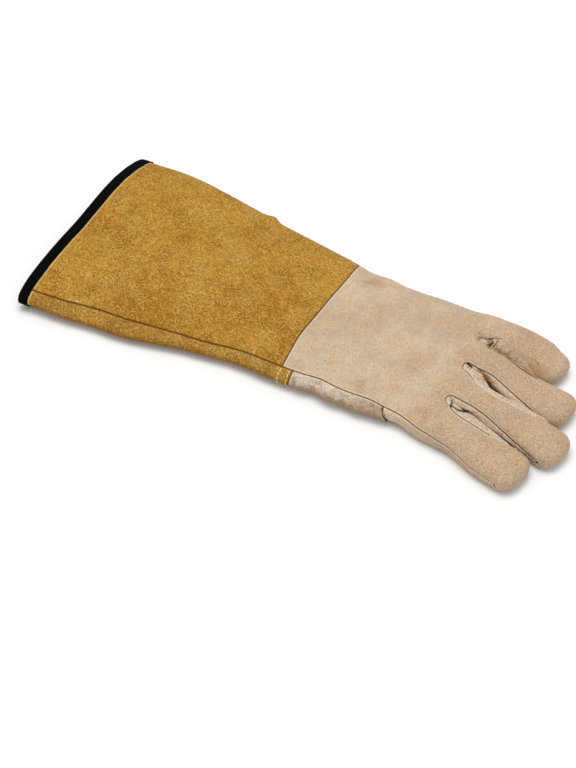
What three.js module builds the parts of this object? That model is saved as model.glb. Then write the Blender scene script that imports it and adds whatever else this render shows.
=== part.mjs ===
// A long leather fireplace glove for the left hand, lying with its back up and its thumb folded
// under the palm. Every piece of leather is a thin sheet with a wall of its own, so the cuff, the
// hand, the four fingers and the thumb are hollow, and the glove is open at the cuff.
// Millimetres. Measured from the cuff's opening, +X runs towards the fingertips, +Y towards the
// little finger and +Z up. The surface that the glove lies on is z = 0.
import * as THREE from 'three';

// Driving sizes
const CUFF_LENGTH = 191; // cuff opening to the wrist seam
const CUFF_WALL = 1.6; // suede split leather
const HAND_WALL = 1.4; // soft grain leather
const TAPE_WALL = 0.8; // woven tape round the opening
const TAPE_WIDTH = 7;
const TAPE_CLEAR = 0.4; // left between the tape and the cuff's edge inside it
const SEAM_GAP = 0.3; // left between two pieces that are sewn together
const SEAM_BEVEL = 0.75; // how much further the inner face of a sheet stops from its seam
const THUMB_THICK = 8.5; // the folded thumb, flattened under the palm
const THUMB_ROOT_THICK = 4.6; // the same where its inner layer starts
const LAYER_GAP = 0.6; // between layers of leather that lie on each other
const OPENING_X = -2.6; // where the opening lies on the near side
const CUFF_FLARE = 5; // how much longer the cuff is on the far side
const TIP_SEAM = 130; // degrees round a fingertip from its top, where the front piece starts
const TIP_SIDE = 89.4; // degrees across a fingertip, where its sides close

// Cross-sections of the cuff and hand: the two outer edges, the height of those edges, the crown,
// the roundness under each edge, and where the back's seam runs (0 is the crown, -1 the near edge).
const BODY = [
  { x: -10, near: -83.5, far: 85.5, side: 8.0, crown: 25.5, round: 16, seam: -0.73 },
  { x: 0, near: -83.0, far: 87.2, side: 8.0, crown: 25.3, round: 16, seam: -0.73 },
  { x: 30, near: -80.0, far: 91.2, side: 7.0, crown: 24.6, round: 16, seam: -0.71 },
  { x: 60, near: -76.0, far: 89.4, side: 6.5, crown: 24.0, round: 16, seam: -0.68 },
  { x: 95, near: -68.8, far: 87.0, side: 6.5, crown: 23.0, round: 15, seam: -0.68 },
  { x: 130, near: -58.5, far: 82.9, side: 6.5, crown: 22.0, round: 14, seam: -0.72 },
  { x: 160, near: -53.0, far: 79.6, side: 7.0, crown: 21.3, round: 13, seam: -0.71 },
  { x: 191, near: -50.0, far: 76.2, side: 7.5, crown: 20.8, round: 12, seam: -0.7 },
  { x: 215, near: -50.4, far: 72.8, side: 8.0, crown: 21.3, round: 10, seam: -0.64 },
  { x: 240, near: -48.6, far: 73.7, side: 8.5, crown: 21.8, round: 9, seam: -0.63 },
  { x: 265, near: -45.6, far: 76.0, side: 8.5, crown: 21.5, round: 9, seam: -0.69 },
  { x: 285, near: -41.4, far: 78.6, side: 8.0, crown: 20.3, round: 9, seam: -0.8 },
  { x: 300, near: -43.2, far: 80.4, side: 7.5, crown: 19.0, round: 9, seam: -0.76 },
  { x: 325, near: -45.0, far: 81.0, side: 7.5, crown: 18.0, round: 9, seam: -0.76 },
];
const BODY_ARCH = 2.2; // exponent of the arch, 2 is an ellipse

// Fingers: the plan places of both edges at four stations, the crown, and the degrees from the top
// at which the back and the front piece end on the near and the far side. "cap" is the length of
// the rounded end.
const FINGERS = [
  {
    name: 'index', cap: 12.5,
    rows: [
      { nx: 311, ny: -44.2, fx: 314, fy: -10.0, top: 18.0, bn: 70, bf: 44, cf: 126, cn: 70 },
      { nx: 330, ny: -45.4, fx: 334, fy: -11.2, top: 17.5, bn: 72, bf: 24, cf: 122, cn: 72 },
      { nx: 350, ny: -51.4, fx: 355, fy: -16.2, top: 16.6, bn: 76, bf: 50, cf: 112, cn: 76 },
      { nx: 370, ny: -55.2, fx: 375, fy: -22.6, top: 15.2, bn: 90, bf: 90, cf: 90, cn: 90 },
    ],
  },
  {
    name: 'middle', cap: 12.5,
    rows: [
      { nx: 313, ny: -8.8, fx: 308, fy: 22.2, top: 18.0, bn: 46, bf: 50, cf: 126, cn: 126 },
      { nx: 332, ny: -7.6, fx: 330, fy: 18.0, top: 18.0, bn: 60, bf: 52, cf: 122, cn: 122 },
      { nx: 356, ny: -14.0, fx: 358, fy: 15.8, top: 17.0, bn: 68, bf: 66, cf: 112, cn: 112 },
      { nx: 386, ny: -22.8, fx: 388, fy: 9.4, top: 15.4, bn: 90, bf: 90, cf: 90, cn: 90 },
    ],
  },
  {
    name: 'ring', cap: 11.5,
    rows: [
      { nx: 308, ny: 24.5, fx: 302, fy: 52.6, top: 17.6, bn: 48, bf: 50, cf: 126, cn: 126 },
      { nx: 327, ny: 22.8, fx: 325, fy: 49.6, top: 17.6, bn: 58, bf: 62, cf: 122, cn: 122 },
      { nx: 352, ny: 17.6, fx: 350, fy: 44.2, top: 16.6, bn: 68, bf: 72, cf: 112, cn: 112 },
      { nx: 374, ny: 13.2, fx: 378, fy: 42.2, top: 15.2, bn: 90, bf: 90, cf: 90, cn: 90 },
    ],
  },
  {
    name: 'little', cap: 11,
    rows: [
      { nx: 302, ny: 54.0, fx: 304, fy: 80.8, top: 17.2, bn: 46, bf: 90, cf: 90, cn: 126 },
      { nx: 322, ny: 51.0, fx: 324, fy: 81.6, top: 17.0, bn: 40, bf: 90, cf: 90, cn: 122 },
      { nx: 340, ny: 46.4, fx: 344, fy: 79.6, top: 16.0, bn: 48, bf: 90, cf: 90, cn: 112 },
      { nx: 352, ny: 45.4, fx: 358, fy: 73.4, top: 14.8, bn: 90, bf: 90, cf: 90, cn: 90 },
    ],
  },
];
const FINGER_SIDE = 7.2; // height of a finger's widest line
const FINGER_ARCH = 2.6;
const FINGER_FLOOR = 6;
const NOSE = 2.2;

// The thumb under the palm: its two sides in plan from the near edge of the hand to its end.
// The far side runs along the wrist seam first.
const THUMB = [
  { nx: 270, ny: -35.6, fx: 191, fy: -38.0 },
  { nx: 274, ny: -30.0, fx: 191, fy: -22.0 },
  { nx: 279, ny: -23.0, fx: 191, fy: -8.0 },
  { nx: 284, ny: -15.0, fx: 222, fy: 4.0 },
  { nx: 291, ny: -3.0, fx: 242, fy: 24.0 },
  { nx: 297, ny: 8.0, fx: 257, fy: 38.0 },
];
const THUMB_CAP = 13;
const THUMB_SEAM = 100; // degrees round the thumb's end from its inner layer, where the layers meet
const THUMB_ARCH = 3;
const THUMB_FLOOR = 8;
const CROTCH_FAR = 2.2; // thumb station at which the inner layer starts on the far side

// The palm's tongue over the cuff: its length, how many points of the palm's wrist edge lie beside
// it, and where the cuff starts and ends rising over it.
const TAB = { length: 38, beside: 3, end: 14, near: [-16, -5], far: [57, 68] };

// Where the strips between the fingers and the palm's pieces divide, in plan
const BACK_LANES = [-14, 16, 46]; // across the wrist seam
const PALM_LANES = [12, 33, 54];
const PALM_NEAR = -7.0;
const SET_IN = [1, 2]; // fingers whose fronts are pieces of their own, set into the palm
const FRONT_BASE = 0.92; // of the way from the wrist seam to the finger crotches, where they start
const WING_SHARE = 0.8; // of the same way, where the wing's strip ends on the back's seam
const HEEL_SHARE = 0.64; // and where the thumb's crotch ends at the near edge

// Steps along and across the sheets
const STEPS = { cuff: 12, crotch: 3, nose: 5, lane: 5, heel: 8, side: 4, thumb: 6, thumbAcross: 12 };

const rad = THREE.MathUtils.degToRad;
const lerp = THREE.MathUtils.lerp;
const mix = (a, b, t) => a.clone().lerp(b, t);
const ramp = (a, b, x) => THREE.MathUtils.smoothstep(x, a, b);
const power = (value, exponent) => Math.sign(value) * Math.abs(value) ** exponent;
const spread = (from, to, steps) => Array.from({ length: steps + 1 }, (_, i) => lerp(from, to, i / steps));

// Smooth curve through one column of a table, whose places are the column "at" or the row number.
function through(rows, column, place, at) {
  const where = (i) => (at ? rows[i][at] : i);
  const last = rows.length - 1;
  let i = 0;
  while (i < last - 1 && place > where(i + 1)) i += 1;
  const slope = (j) => {
    const a = Math.max(j - 1, 0);
    const b = Math.min(j + 1, last);
    return (rows[b][column] - rows[a][column]) / (where(b) - where(a));
  };
  const width = where(i + 1) - where(i);
  const t = THREE.MathUtils.clamp((place - where(i)) / width, 0, 1);
  const [a, b] = [rows[i][column], rows[i + 1][column]];
  const [da, db] = [slope(i) * width, slope(i + 1) * width];
  return a + t * (da + t * (3 * (b - a) - 2 * da - db + t * (2 * (a - b) + da + db)));
}

// Cuff and hand. A place round the section is a number: -1 is the near edge, 0 the crown, 1 the far
// edge, 2 to 3 the flat underside from far to near, and 4 the near edge again.
function section(x) {
  const row = { x };
  for (const column of ['near', 'far', 'side', 'crown', 'round']) row[column] = through(BODY, column, x, 'x');
  row.middle = (row.near + row.far) / 2;
  row.half = (row.far - row.near) / 2;
  row.flat = row.far - row.near - 2 * row.round;
  return row;
}
function onBody(x, place) {
  const s = section(x);
  const m = place < -1 ? place + 5 : place;
  if (m <= 1 || m >= 4) {
    const angle = rad(90 * (m >= 4 ? m - 5 : m));
    const y = s.middle + s.half * power(Math.sin(angle), 2 / BODY_ARCH);
    const z = s.side + (s.crown - s.side) * power(Math.cos(angle), 2 / BODY_ARCH);
    return new THREE.Vector3(x, y, Math.max(z, s.side));
  }
  if (m < 2) {
    const angle = rad(90 * (m - 1));
    return new THREE.Vector3(x, s.far - s.round * (1 - Math.cos(angle)), s.side * (1 - Math.sin(angle)));
  }
  if (m <= 3) return new THREE.Vector3(x, lerp(s.far - s.round, s.near + s.round, m - 2), 0);
  const angle = rad(90 * (4 - m));
  return new THREE.Vector3(x, s.near + s.round * (1 - Math.cos(angle)), s.side * (1 - Math.sin(angle)));
}
const seamPlace = (x) => through(BODY, 'seam', x, 'x');
function topPlace(x, y) {
  const s = section(x);
  const t = (y - s.middle) / s.half;
  return (Math.sign(t) * THREE.MathUtils.radToDeg(Math.asin(Math.abs(t) ** (BODY_ARCH / 2)))) / 90;
}
function floorPlace(x, y) {
  const s = section(x);
  return 3 - (y - s.near - s.round) / s.flat;
}
// A point at a share of the way round the section, by length, from one place to another.
function roundBody(x, from, to, share) {
  const points = spread(from, to, 32).map((place) => onBody(x, place));
  const lengths = [0];
  for (let i = 1; i < points.length; i += 1) {
    lengths.push(lengths[i - 1] + points[i].distanceTo(points[i - 1]));
  }
  const wanted = share * lengths[lengths.length - 1];
  let i = 1;
  while (i < lengths.length - 1 && lengths[i] < wanted) i += 1;
  return mix(points[i - 1], points[i], (wanted - lengths[i - 1]) / (lengths[i] - lengths[i - 1]));
}

// Fingers. An angle round a finger is in degrees from its crown, positive towards the little finger.
const plan = (row) => [new THREE.Vector3(row.nx, row.ny, 0), new THREE.Vector3(row.fx, row.fy, 0)];
function fingerFrame(finger, s) {
  const row = {};
  for (const column of Object.keys(finger.rows[0])) row[column] = through(finger.rows, column, 3 * s);
  const [near, far] = plan(row);
  return { ...row, centre: mix(near, far, 0.5), half: far.clone().sub(near).multiplyScalar(0.5) };
}
function onFinger(finger, s, degrees) {
  const frame = fingerFrame(finger, s);
  const angle = rad(degrees);
  const across = power(Math.sin(angle), 2 / FINGER_ARCH);
  const up = Math.cos(angle);
  const z = up >= 0
    ? (frame.top - FINGER_SIDE) * power(up, 2 / FINGER_ARCH)
    : -FINGER_SIDE * Math.abs(up) ** (2 / FINGER_FLOOR);
  return frame.centre.clone().addScaledVector(frame.half, across).setZ(FINGER_SIDE + z);
}
function onTip(finger, turn, degrees) {
  const frame = fingerFrame(finger, 1);
  const across = rad(degrees);
  const round = rad(turn);
  const ahead = new THREE.Vector3(frame.half.y, -frame.half.x, 0).normalize();
  const spreadOut = Math.cos(across) ** (2 / FINGER_ARCH);
  const up = Math.cos(round);
  const z = up >= 0
    ? (frame.top - FINGER_SIDE) * power(up, 2 / NOSE) * spreadOut
    : -FINGER_SIDE * Math.abs(up) ** (2 / NOSE) * Math.cos(across) ** (2 / FINGER_FLOOR);
  return frame.centre.clone()
    .addScaledVector(frame.half, power(Math.sin(across), 2 / FINGER_ARCH))
    .addScaledVector(ahead, finger.cap * power(Math.sin(round), 2 / NOSE) * spreadOut)
    .setZ(FINGER_SIDE + z);
}
// The edge of the leather round the crotch between finger i and the next one: turn goes from -90,
// on finger i, over 0, nearest the wrist, to 90. depth is 0 at the back's edge, 1 at the front's.
function onCrotch(i, turn, depth) {
  const [a, b] = [FINGERS[i], FINGERS[i + 1]];
  const [ra, rb] = [a.rows[0], b.rows[0]];
  const pa = onFinger(a, 0, lerp(ra.bf, ra.cf, depth));
  const pb = onFinger(b, 0, -lerp(rb.bn, rb.cn, depth));
  const half = pb.clone().sub(pa).multiplyScalar(0.5);
  const back = half.clone().setZ(0).length();
  return mix(pa, pb, 0.5)
    .addScaledVector(half, Math.sin(rad(turn)))
    .add(new THREE.Vector3(-back * Math.cos(rad(turn)), 0, 0));
}

// Thumb. Its angle is in degrees from the top of its inner layer, which faces the palm.
function thumbFrame(station) {
  const row = {};
  for (const column of Object.keys(THUMB[0])) row[column] = through(THUMB, column, station);
  const [near, far] = plan(row);
  far.x = Math.max(far.x, CUFF_LENGTH);
  return { centre: mix(near, far, 0.5), half: far.clone().sub(near).multiplyScalar(0.5) };
}
function onThumbPlan(station, across) {
  const frame = thumbFrame(station);
  return frame.centre.clone().addScaledVector(frame.half, across);
}
const crotchLine = (across) => onThumbPlan((CROTCH_FAR * (1 + across)) / 2, across);
const THUMB_HEEL = crotchLine(-1);
const THUMB_START = crotchLine(1);
function thumbThickness(p) {
  const clear = Math.min(
    ramp(0, 24, Math.hypot(p.x - THUMB_HEEL.x, p.y - THUMB_HEEL.y)),
    ramp(0, 30, Math.hypot(p.x - THUMB_START.x, p.y - THUMB_START.y)),
  );
  return lerp(THUMB_ROOT_THICK, THUMB_THICK, clear);
}
function thumbHeight(p, across, over) {
  const thick = thumbThickness(p);
  return over
    ? thick / 2 + (thick / 2) * Math.cos(across) ** (2 / THUMB_ARCH)
    : (thick / 2) * (1 - Math.cos(across) ** (2 / THUMB_FLOOR));
}
function onThumb(station, degrees, over) {
  const angle = rad(degrees);
  const p = onThumbPlan(station, power(Math.sin(angle), 2 / THUMB_ARCH));
  const hem = over || degrees < 0 ? 1 : ramp(1.9, CROTCH_FAR + 0.5, station);
  return p.setZ(thumbHeight(p, angle, over) * hem);
}
function onThumbTip(turn, degrees) {
  const frame = thumbFrame(5);
  const ahead = new THREE.Vector3(frame.half.y, -frame.half.x, 0).normalize();
  const across = rad(degrees);
  const up = Math.cos(rad(turn));
  const reach = THUMB_CAP * power(Math.sin(rad(turn)), 2 / NOSE) * Math.cos(across) ** (2 / THUMB_ARCH);
  const p = frame.centre.clone()
    .addScaledVector(frame.half, power(Math.sin(across), 2 / THUMB_ARCH))
    .addScaledVector(ahead, reach);
  const flat = up >= 0 ? 2 / THUMB_ARCH : 2 / THUMB_FLOOR;
  const half = THUMB_THICK / 2;
  return p.setZ(half + half * power(up, 2 / NOSE) * Math.cos(across) ** flat);
}
const THUMB_OUTLINE = [
  ...spread(1, -1, 10).map((across) => crotchLine(across)),
  ...spread(0.5, 5, 9).map((station) => onThumbPlan(station, -1)),
  ...spread(-80, 80, 10).map((degrees) => onThumbTip(90, degrees)),
  ...spread(5, 2.5, 6).map((station) => onThumbPlan(station, 1)),
];

// How high the palm is lifted by the thumb that it lies on: full over the thumb, and nothing
// about a finger's width away from it.
function outsideThumb(p) {
  let inside = false;
  let nearest = Infinity;
  THUMB_OUTLINE.forEach((a, i) => {
    const b = THUMB_OUTLINE[(i + 1) % THUMB_OUTLINE.length];
    if (a.y > p.y !== b.y > p.y && p.x < a.x + ((p.y - a.y) / (b.y - a.y)) * (b.x - a.x)) inside = !inside;
    const along = THREE.MathUtils.clamp(
      ((p.x - a.x) * (b.x - a.x) + (p.y - a.y) * (b.y - a.y)) / ((b.x - a.x) ** 2 + (b.y - a.y) ** 2), 0, 1);
    nearest = Math.min(nearest, Math.hypot(p.x - lerp(a.x, b.x, along), p.y - lerp(a.y, b.y, along)));
  });
  return inside ? 0 : nearest;
}
function liftPalm(p, lifted) {
  const height = lifted * (thumbThickness(p) + LAYER_GAP) * (1 - ramp(1, 12, outsideThumb(p)));
  const low = 1 - THREE.MathUtils.clamp(p.z / section(p.x).side, 0, 1);
  return p.setZ(p.z + height * low * ramp(CUFF_LENGTH, CUFF_LENGTH + 8, p.x));
}

// Lanes: the hand is divided into four, one to a finger, which part at the finger crotches.
// Each lane is a list of rows of points from its near to its far edge.
const HAND_SHARES = [...spread(0, WING_SHARE, 10), 0.86, FRONT_BASE, 1];
const FINGER_SHARES = [...spread(0, 1, 6).slice(0, -1), 0.985, 1];
const HAND_END = FINGERS[0].rows[0].nx - 3;
const WING_END = lerp(CUFF_LENGTH, HAND_END, WING_SHARE);
const WING_FOOT = THUMB[0].nx;
function laneEdge(side, i, share) {
  // The line between lanes i and i + 1 from the wrist seam to the crotch.
  const depth = side === 'back' ? 0 : 1;
  const end = onCrotch(i, 0, depth);
  const start = side === 'back' ? BACK_LANES[i] : PALM_LANES[i];
  return { x: lerp(CUFF_LENGTH, end.x, share), y: lerp(start, end.y, share) };
}
function edgePlace(side, i, share) {
  // x, and the place round the body, of lane edge number i: 0 is the near edge, 4 the far one.
  if (i > 0 && i < 4) {
    const { x, y } = laneEdge(side, i - 1, share);
    return { x, place: side === 'back' ? topPlace(x, y) : floorPlace(x, y) };
  }
  const x = lerp(CUFF_LENGTH, i === 0 ? HAND_END : FINGERS[3].rows[0].fx - 3, share);
  if (i === 4) return { x, place: 1 };
  if (side === 'back') return { x, place: seamPlace(x) };
  return palmNearEdge(share);
}
function palmNearEdge(share) {
  // Along the crotch of the thumb, up the end of the wing, and along the back's seam.
  if (share <= HEEL_SHARE) {
    const t = share / HEEL_SHARE;
    const p = crotchLine(lerp(1, -1, 0.4 * ramp(0, 1, t) + 0.6 * t));
    const start = 1 - ramp(0, 0.12, share);
    const x = lerp(p.x, CUFF_LENGTH, start);
    return { x, place: floorPlace(x, lerp(p.y, PALM_NEAR, start)) };
  }
  if (share < WING_SHARE) {
    const t = (share - HEEL_SHARE) / (WING_SHARE - HEEL_SHARE);
    return { x: wingEnd(1 - t), place: lerp(3, seamPlace(WING_END) + 5, t) };
  }
  const x = lerp(CUFF_LENGTH, HAND_END, share);
  return { x, place: seamPlace(x) + 5 };
}
// The end of the wing from the back's seam, 0, down to the surface, 1
const wingEnd = (down) => lerp(WING_END, WING_FOOT, ramp(0, 1, down) * 0.5 + down * 0.5);

function fingerAngles(side, frame, v) {
  return side === 'back' ? lerp(-frame.bn, frame.bf, v) : lerp(-frame.cn, -(360 - frame.cf), v);
}
function bodyPoint(side, lane, share, v) {
  const near = edgePlace(side, lane, share);
  const far = edgePlace(side, lane + 1, share);
  return roundBody(lerp(near.x, far.x, v), near.place, far.place, v);
}
// The last row of the body takes the finger's own section, and the rows before it grow into it.
function crotchRow(side, lane, v, turn) {
  const finger = FINGERS[lane];
  const depth = side === 'back' ? 0 : 1;
  const frame = fingerFrame(finger, 0);
  const first = onFinger(finger, 0, fingerAngles(side, frame, 0));
  const last = onFinger(finger, 0, fingerAngles(side, frame, 1));
  const here = onFinger(finger, 0, fingerAngles(side, frame, v));
  const opened = turn / 90;
  const near = lane > 0 ? onCrotch(lane - 1, turn, depth) : first.clone().setX(first.x - 3 * (1 - opened));
  const far = lane < 3 ? onCrotch(lane, -turn, depth) : last.clone().setX(last.x - 3 * (1 - opened));
  const width = last.clone().sub(first).setZ(0);
  const share = here.clone().sub(first).setZ(0).dot(width) / width.lengthSq();
  const level = here.z - lerp(first.z, last.z, share);
  return mix(near, far, share).setZ(lerp(near.z, far.z, share) + level);
}
function lanePoint(side, lane, share, v) {
  const step = crotchRow(side, lane, v, 0).sub(bodyPoint(side, lane, 1, v));
  const p = bodyPoint(side, lane, share, v).addScaledVector(step, ramp(WING_SHARE, 1, share));
  return side === 'back' ? p : liftPalm(p, 1 - ramp(FRONT_BASE, 1, share));
}
function laneRows(side, lane, shares) {
  const across = spread(0, 1, lane === 0 && side === 'palm' ? STEPS.heel : STEPS.lane);
  const row = (make) => across.map(make);
  const rows = shares.map((share) => row((v) => lanePoint(side, lane, share, v)));
  if (shares[shares.length - 1] < 1) return rows;
  for (const turn of spread(0, 90, STEPS.crotch).slice(1)) {
    rows.push(row((v) => crotchRow(side, lane, v, turn)));
  }
  const finger = FINGERS[lane];
  for (const s of FINGER_SHARES.slice(1)) {
    const frame = fingerFrame(finger, s);
    rows.push(row((v) => onFinger(finger, s, fingerAngles(side, frame, v))));
  }
  const turns = side === 'back' ? spread(0, TIP_SEAM, STEPS.nose) : spread(180, TIP_SEAM, 2);
  for (const turn of turns.slice(1)) {
    rows.push(row((v) => onTip(finger, turn, lerp(-TIP_SIDE, TIP_SIDE, v))));
  }
  return rows;
}

// A sheet of leather: its outer face is given as grids of points, which are joined where they
// meet. Sheets that are sewn together share their seam's points and its directions, so their cut
// edges lie side by side, half a seam's gap short of the seam.
const seamDirections = new Map();
const keyOf = (p) => [p.x, p.y, p.z].map((value) => Math.round(value * 50)).join();
function sheet(name, colour, wall, grids, turned = false) {
  const points = [];
  const index = new Map();
  const vertex = (p) => {
    const key = keyOf(p);
    if (!index.has(key)) {
      index.set(key, points.length);
      points.push(p.clone());
    }
    return index.get(key);
  };
  const faces = [];
  const addFace = (...face) => {
    if (new Set(face).size < 3) return;
    faces.push(face);
    const [a, b, c] = face.map((i) => points[i]);
    const direction = b.clone().sub(a).cross(c.clone().sub(a));
    for (const p of [a, b, c]) {
      const key = keyOf(p);
      seamDirections.set(key, (seamDirections.get(key) ?? new THREE.Vector3()).add(direction));
    }
  };
  for (const rows of grids) {
    const ids = rows.map((row) => row.map(vertex));
    for (let i = 0; i + 1 < ids.length; i += 1) {
      for (let j = 0; j + 1 < ids[i].length; j += 1) {
        const corners = [ids[i][j], ids[i + 1][j], ids[i + 1][j + 1], ids[i][j + 1]];
        if (turned) corners.reverse();
        const [a, b, c, d] = corners;
        if (points[a].distanceTo(points[c]) < points[b].distanceTo(points[d])) {
          addFace(a, b, c);
          addFace(a, c, d);
        } else {
          addFace(a, b, d);
          addFace(b, c, d);
        }
      }
    }
  }
  return { name, colour, wall, points, faces };
}
function leather({ name, colour, wall, points, faces }) {
  const rim = new Map();
  for (const face of faces) {
    face.forEach((from, k) => {
      const to = face[(k + 1) % 3];
      if (rim.has(`${to},${from}`)) rim.delete(`${to},${from}`);
      else rim.set(`${from},${to}`, [from, to]);
    });
  }
  const normals = points.map((p) => seamDirections.get(keyOf(p)).clone().normalize());
  const inward = points.map(() => new THREE.Vector3());
  for (const [from, to] of rim.values()) {
    const along = points[to].clone().sub(points[from]).normalize();
    for (const i of [from, to]) inward[i].add(normals[i].clone().cross(along).normalize());
  }
  inward.forEach((step) => step.multiplyScalar(2 / Math.max(step.lengthSq(), 1)));
  const outer = points.map((p, i) => p.clone().addScaledVector(inward[i], SEAM_GAP / 2));
  const inner = outer.map((p, i) => p.clone().addScaledVector(normals[i], -wall)
    .addScaledVector(inward[i], SEAM_BEVEL));
  const position = [...outer, ...inner].flatMap((p) => [p.x, p.y, p.z]);
  const count = points.length;
  const triangles = [];
  for (const [a, b, c] of faces) triangles.push(a, b, c, count + c, count + b, count + a);
  for (const [from, to] of rim.values()) {
    triangles.push(to, from, count + from, to, count + from, count + to);
  }
  return solid(name, colour, position, triangles);
}
function solid(name, colour, position, triangles, roughness = 0.9) {
  const geometry = new THREE.BufferGeometry();
  geometry.setAttribute('position', new THREE.Float32BufferAttribute(position, 3));
  geometry.setIndex(triangles);
  geometry.computeVertexNormals();
  const material = new THREE.MeshStandardMaterial({ color: colour, roughness, metalness: 0 });
  const mesh = new THREE.Mesh(geometry, material);
  mesh.name = name;
  return mesh;
}

const SUEDE = 0xc08a3c;
const GRAIN = 0xd9bd9a;
const GRAIN_PALE = 0xe2cfb4;
const TAPE = 0x1c1b1d;

// Cuff
const openingX = (p) => OPENING_X - CUFF_FLARE * ramp(-20, 60, p.y);
function onCuff(share, place) {
  const rough = onBody(lerp(OPENING_X, CUFF_LENGTH, share), place);
  const x = lerp(openingX(rough), CUFF_LENGTH, share);
  const p = onBody(x, place);
  const s = section(x);
  const under = 1 - THREE.MathUtils.clamp(p.z / s.side, 0, 1);
  const foot = (TAPE_WALL + TAPE_CLEAR) * (1 - ramp(8, 30, x));
  const tabStart = CUFF_LENGTH - TAB.length;
  const overTab = (HAND_WALL + LAYER_GAP) * ramp(tabStart - TAB.end, tabStart - 2, x)
    * ramp(...TAB.near, p.y) * (1 - ramp(...TAB.far, p.y));
  return p.setZ(p.z + under * Math.max(foot, overTab));
}
const cuffShares = spread(0, 1, STEPS.cuff);
const backPlaces = (x) => [seamPlace(x), ...spread(-0.55, 0.75, 9), 0.88, 1];
const palmPlaces = (x) => [1, 1.35, 1.7, ...spread(2, 3, 10), 3.35, 3.7, 4, 4.12, seamPlace(x) + 5];
const cuffGrid = (places) => cuffShares.map((share) =>
  places(lerp(0, CUFF_LENGTH, share)).map((place) => onCuff(share, place)));
function gauntletBack() {
  return sheet('gauntlet_back', SUEDE, CUFF_WALL, [cuffGrid(backPlaces)]);
}
function gauntletPalm() {
  return sheet('gauntlet_palm', SUEDE, CUFF_WALL, [cuffGrid(palmPlaces)]);
}

// Tape folded over the cuff's edge: a closed section carried once round the opening
function cuffBinding() {
  const places = [...spread(-1, 1, 20).slice(0, -1), 1, 1.35, 1.7, ...spread(2, 3, 8), 3.35, 3.7];
  const step = 1e-3;
  const rings = places.map((place) => {
    const edge = onCuff(0, place);
    const next = onCuff(0, place + step).sub(onCuff(0, place - step)).normalize();
    const out = next.clone().cross(new THREE.Vector3(1, 0, 0)).normalize();
    if (out.dot(new THREE.Vector3(0, edge.y, edge.z - section(edge.x).side)) < 0) out.negate();
    const at = (along, outward) => {
      const share = Math.max(along, 0) / CUFF_LENGTH;
      const base = along > 0 ? onCuff(share, place) : edge.clone();
      return base.setX(edge.x + along).addScaledVector(out, outward);
    };
    const inside = -CUFF_WALL - TAPE_CLEAR;
    return [
      at(TAPE_WIDTH, TAPE_CLEAR), at(TAPE_WIDTH, TAPE_CLEAR + TAPE_WALL), at(0.5, TAPE_CLEAR + TAPE_WALL),
      at(-TAPE_CLEAR - TAPE_WALL, TAPE_CLEAR), at(-TAPE_CLEAR - TAPE_WALL, inside),
      at(0.5, inside - TAPE_WALL), at(TAPE_WIDTH, inside - TAPE_WALL), at(TAPE_WIDTH, inside),
      at(-TAPE_CLEAR, inside), at(-TAPE_CLEAR, TAPE_CLEAR),
    ];
  });
  const width = rings[0].length;
  const triangles = [];
  rings.forEach((ring, i) => ring.forEach((_, j) => {
    const [a, b] = [i * width + j, i * width + ((j + 1) % width)];
    const turn = ((i + 1) % rings.length) * width;
    const [c, d] = [turn + j, turn + ((j + 1) % width)];
    triangles.push(a, d, b, a, c, d);
  }));
  const position = rings.flat().flatMap((p) => [p.x, p.y, p.z]);
  return solid('cuff_binding', TAPE, position, triangles, 0.8);
}

// Hand
function handBack() {
  const grids = FINGERS.map((_, lane) => laneRows('back', lane, HAND_SHARES));
  return sheet('hand_back', GRAIN, HAND_WALL, grids);
}
function palmTab(firstRow) {
  // A tongue that grows from the palm's wrist edge, under the cuff, with rounded corners
  const middle = (firstRow[0].y + firstRow[firstRow.length - 1].y) / 2;
  const half = (firstRow[firstRow.length - 1].y - firstRow[0].y) / 2;
  return [1, 0.75, 0.5, 0.25, 0].map((share) => firstRow.map((p) => {
    const length = TAB.length * (1 - Math.min(Math.abs((p.y - middle) / half), 1) ** 5) ** 0.2;
    return new THREE.Vector3(CUFF_LENGTH - length * share, p.y, p.z);
  }));
}
function palm() {
  const lanes = FINGERS.map((_, lane) =>
    laneRows('palm', lane, HAND_SHARES.filter((share) => share <= FRONT_BASE || !SET_IN.includes(lane))));
  const wrist = lanes.slice(0, 3).flatMap((rows) => rows[0].slice(0, -1)).slice(TAB.beside);
  return sheet('palm', GRAIN, HAND_WALL, [...lanes, palmTab([...wrist, lanes[3][0][0]])], true);
}
function setInFront(lane) {
  const rows = laneRows('palm', lane, HAND_SHARES.filter((share) => share >= FRONT_BASE));
  return sheet(`${FINGERS[lane].name}_finger_front`, GRAIN, HAND_WALL, [rows], true);
}
function fourchette(i) {
  const across = spread(0, 1, STEPS.side);
  const stations = FINGER_SHARES.slice(0, -1).reverse();
  const side = (finger, s, far) => {
    const frame = fingerFrame(finger, s);
    return across.map((h) =>
      onFinger(finger, s, far ? lerp(frame.bf, frame.cf, h) : -lerp(frame.bn, frame.cn, h)));
  };
  const rows = [
    ...stations.map((s) => side(FINGERS[i], s, true)),
    ...spread(-90, 90, 2 * STEPS.crotch).slice(1, -1).map((turn) => across.map((h) => onCrotch(i, turn, h))),
    ...[...stations].reverse().map((s) => side(FINGERS[i + 1], s, false)),
  ];
  return sheet(`fourchette_${FINGERS[i].name}_${FINGERS[i + 1].name}`, GRAIN_PALE, HAND_WALL, [rows], true);
}

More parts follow.
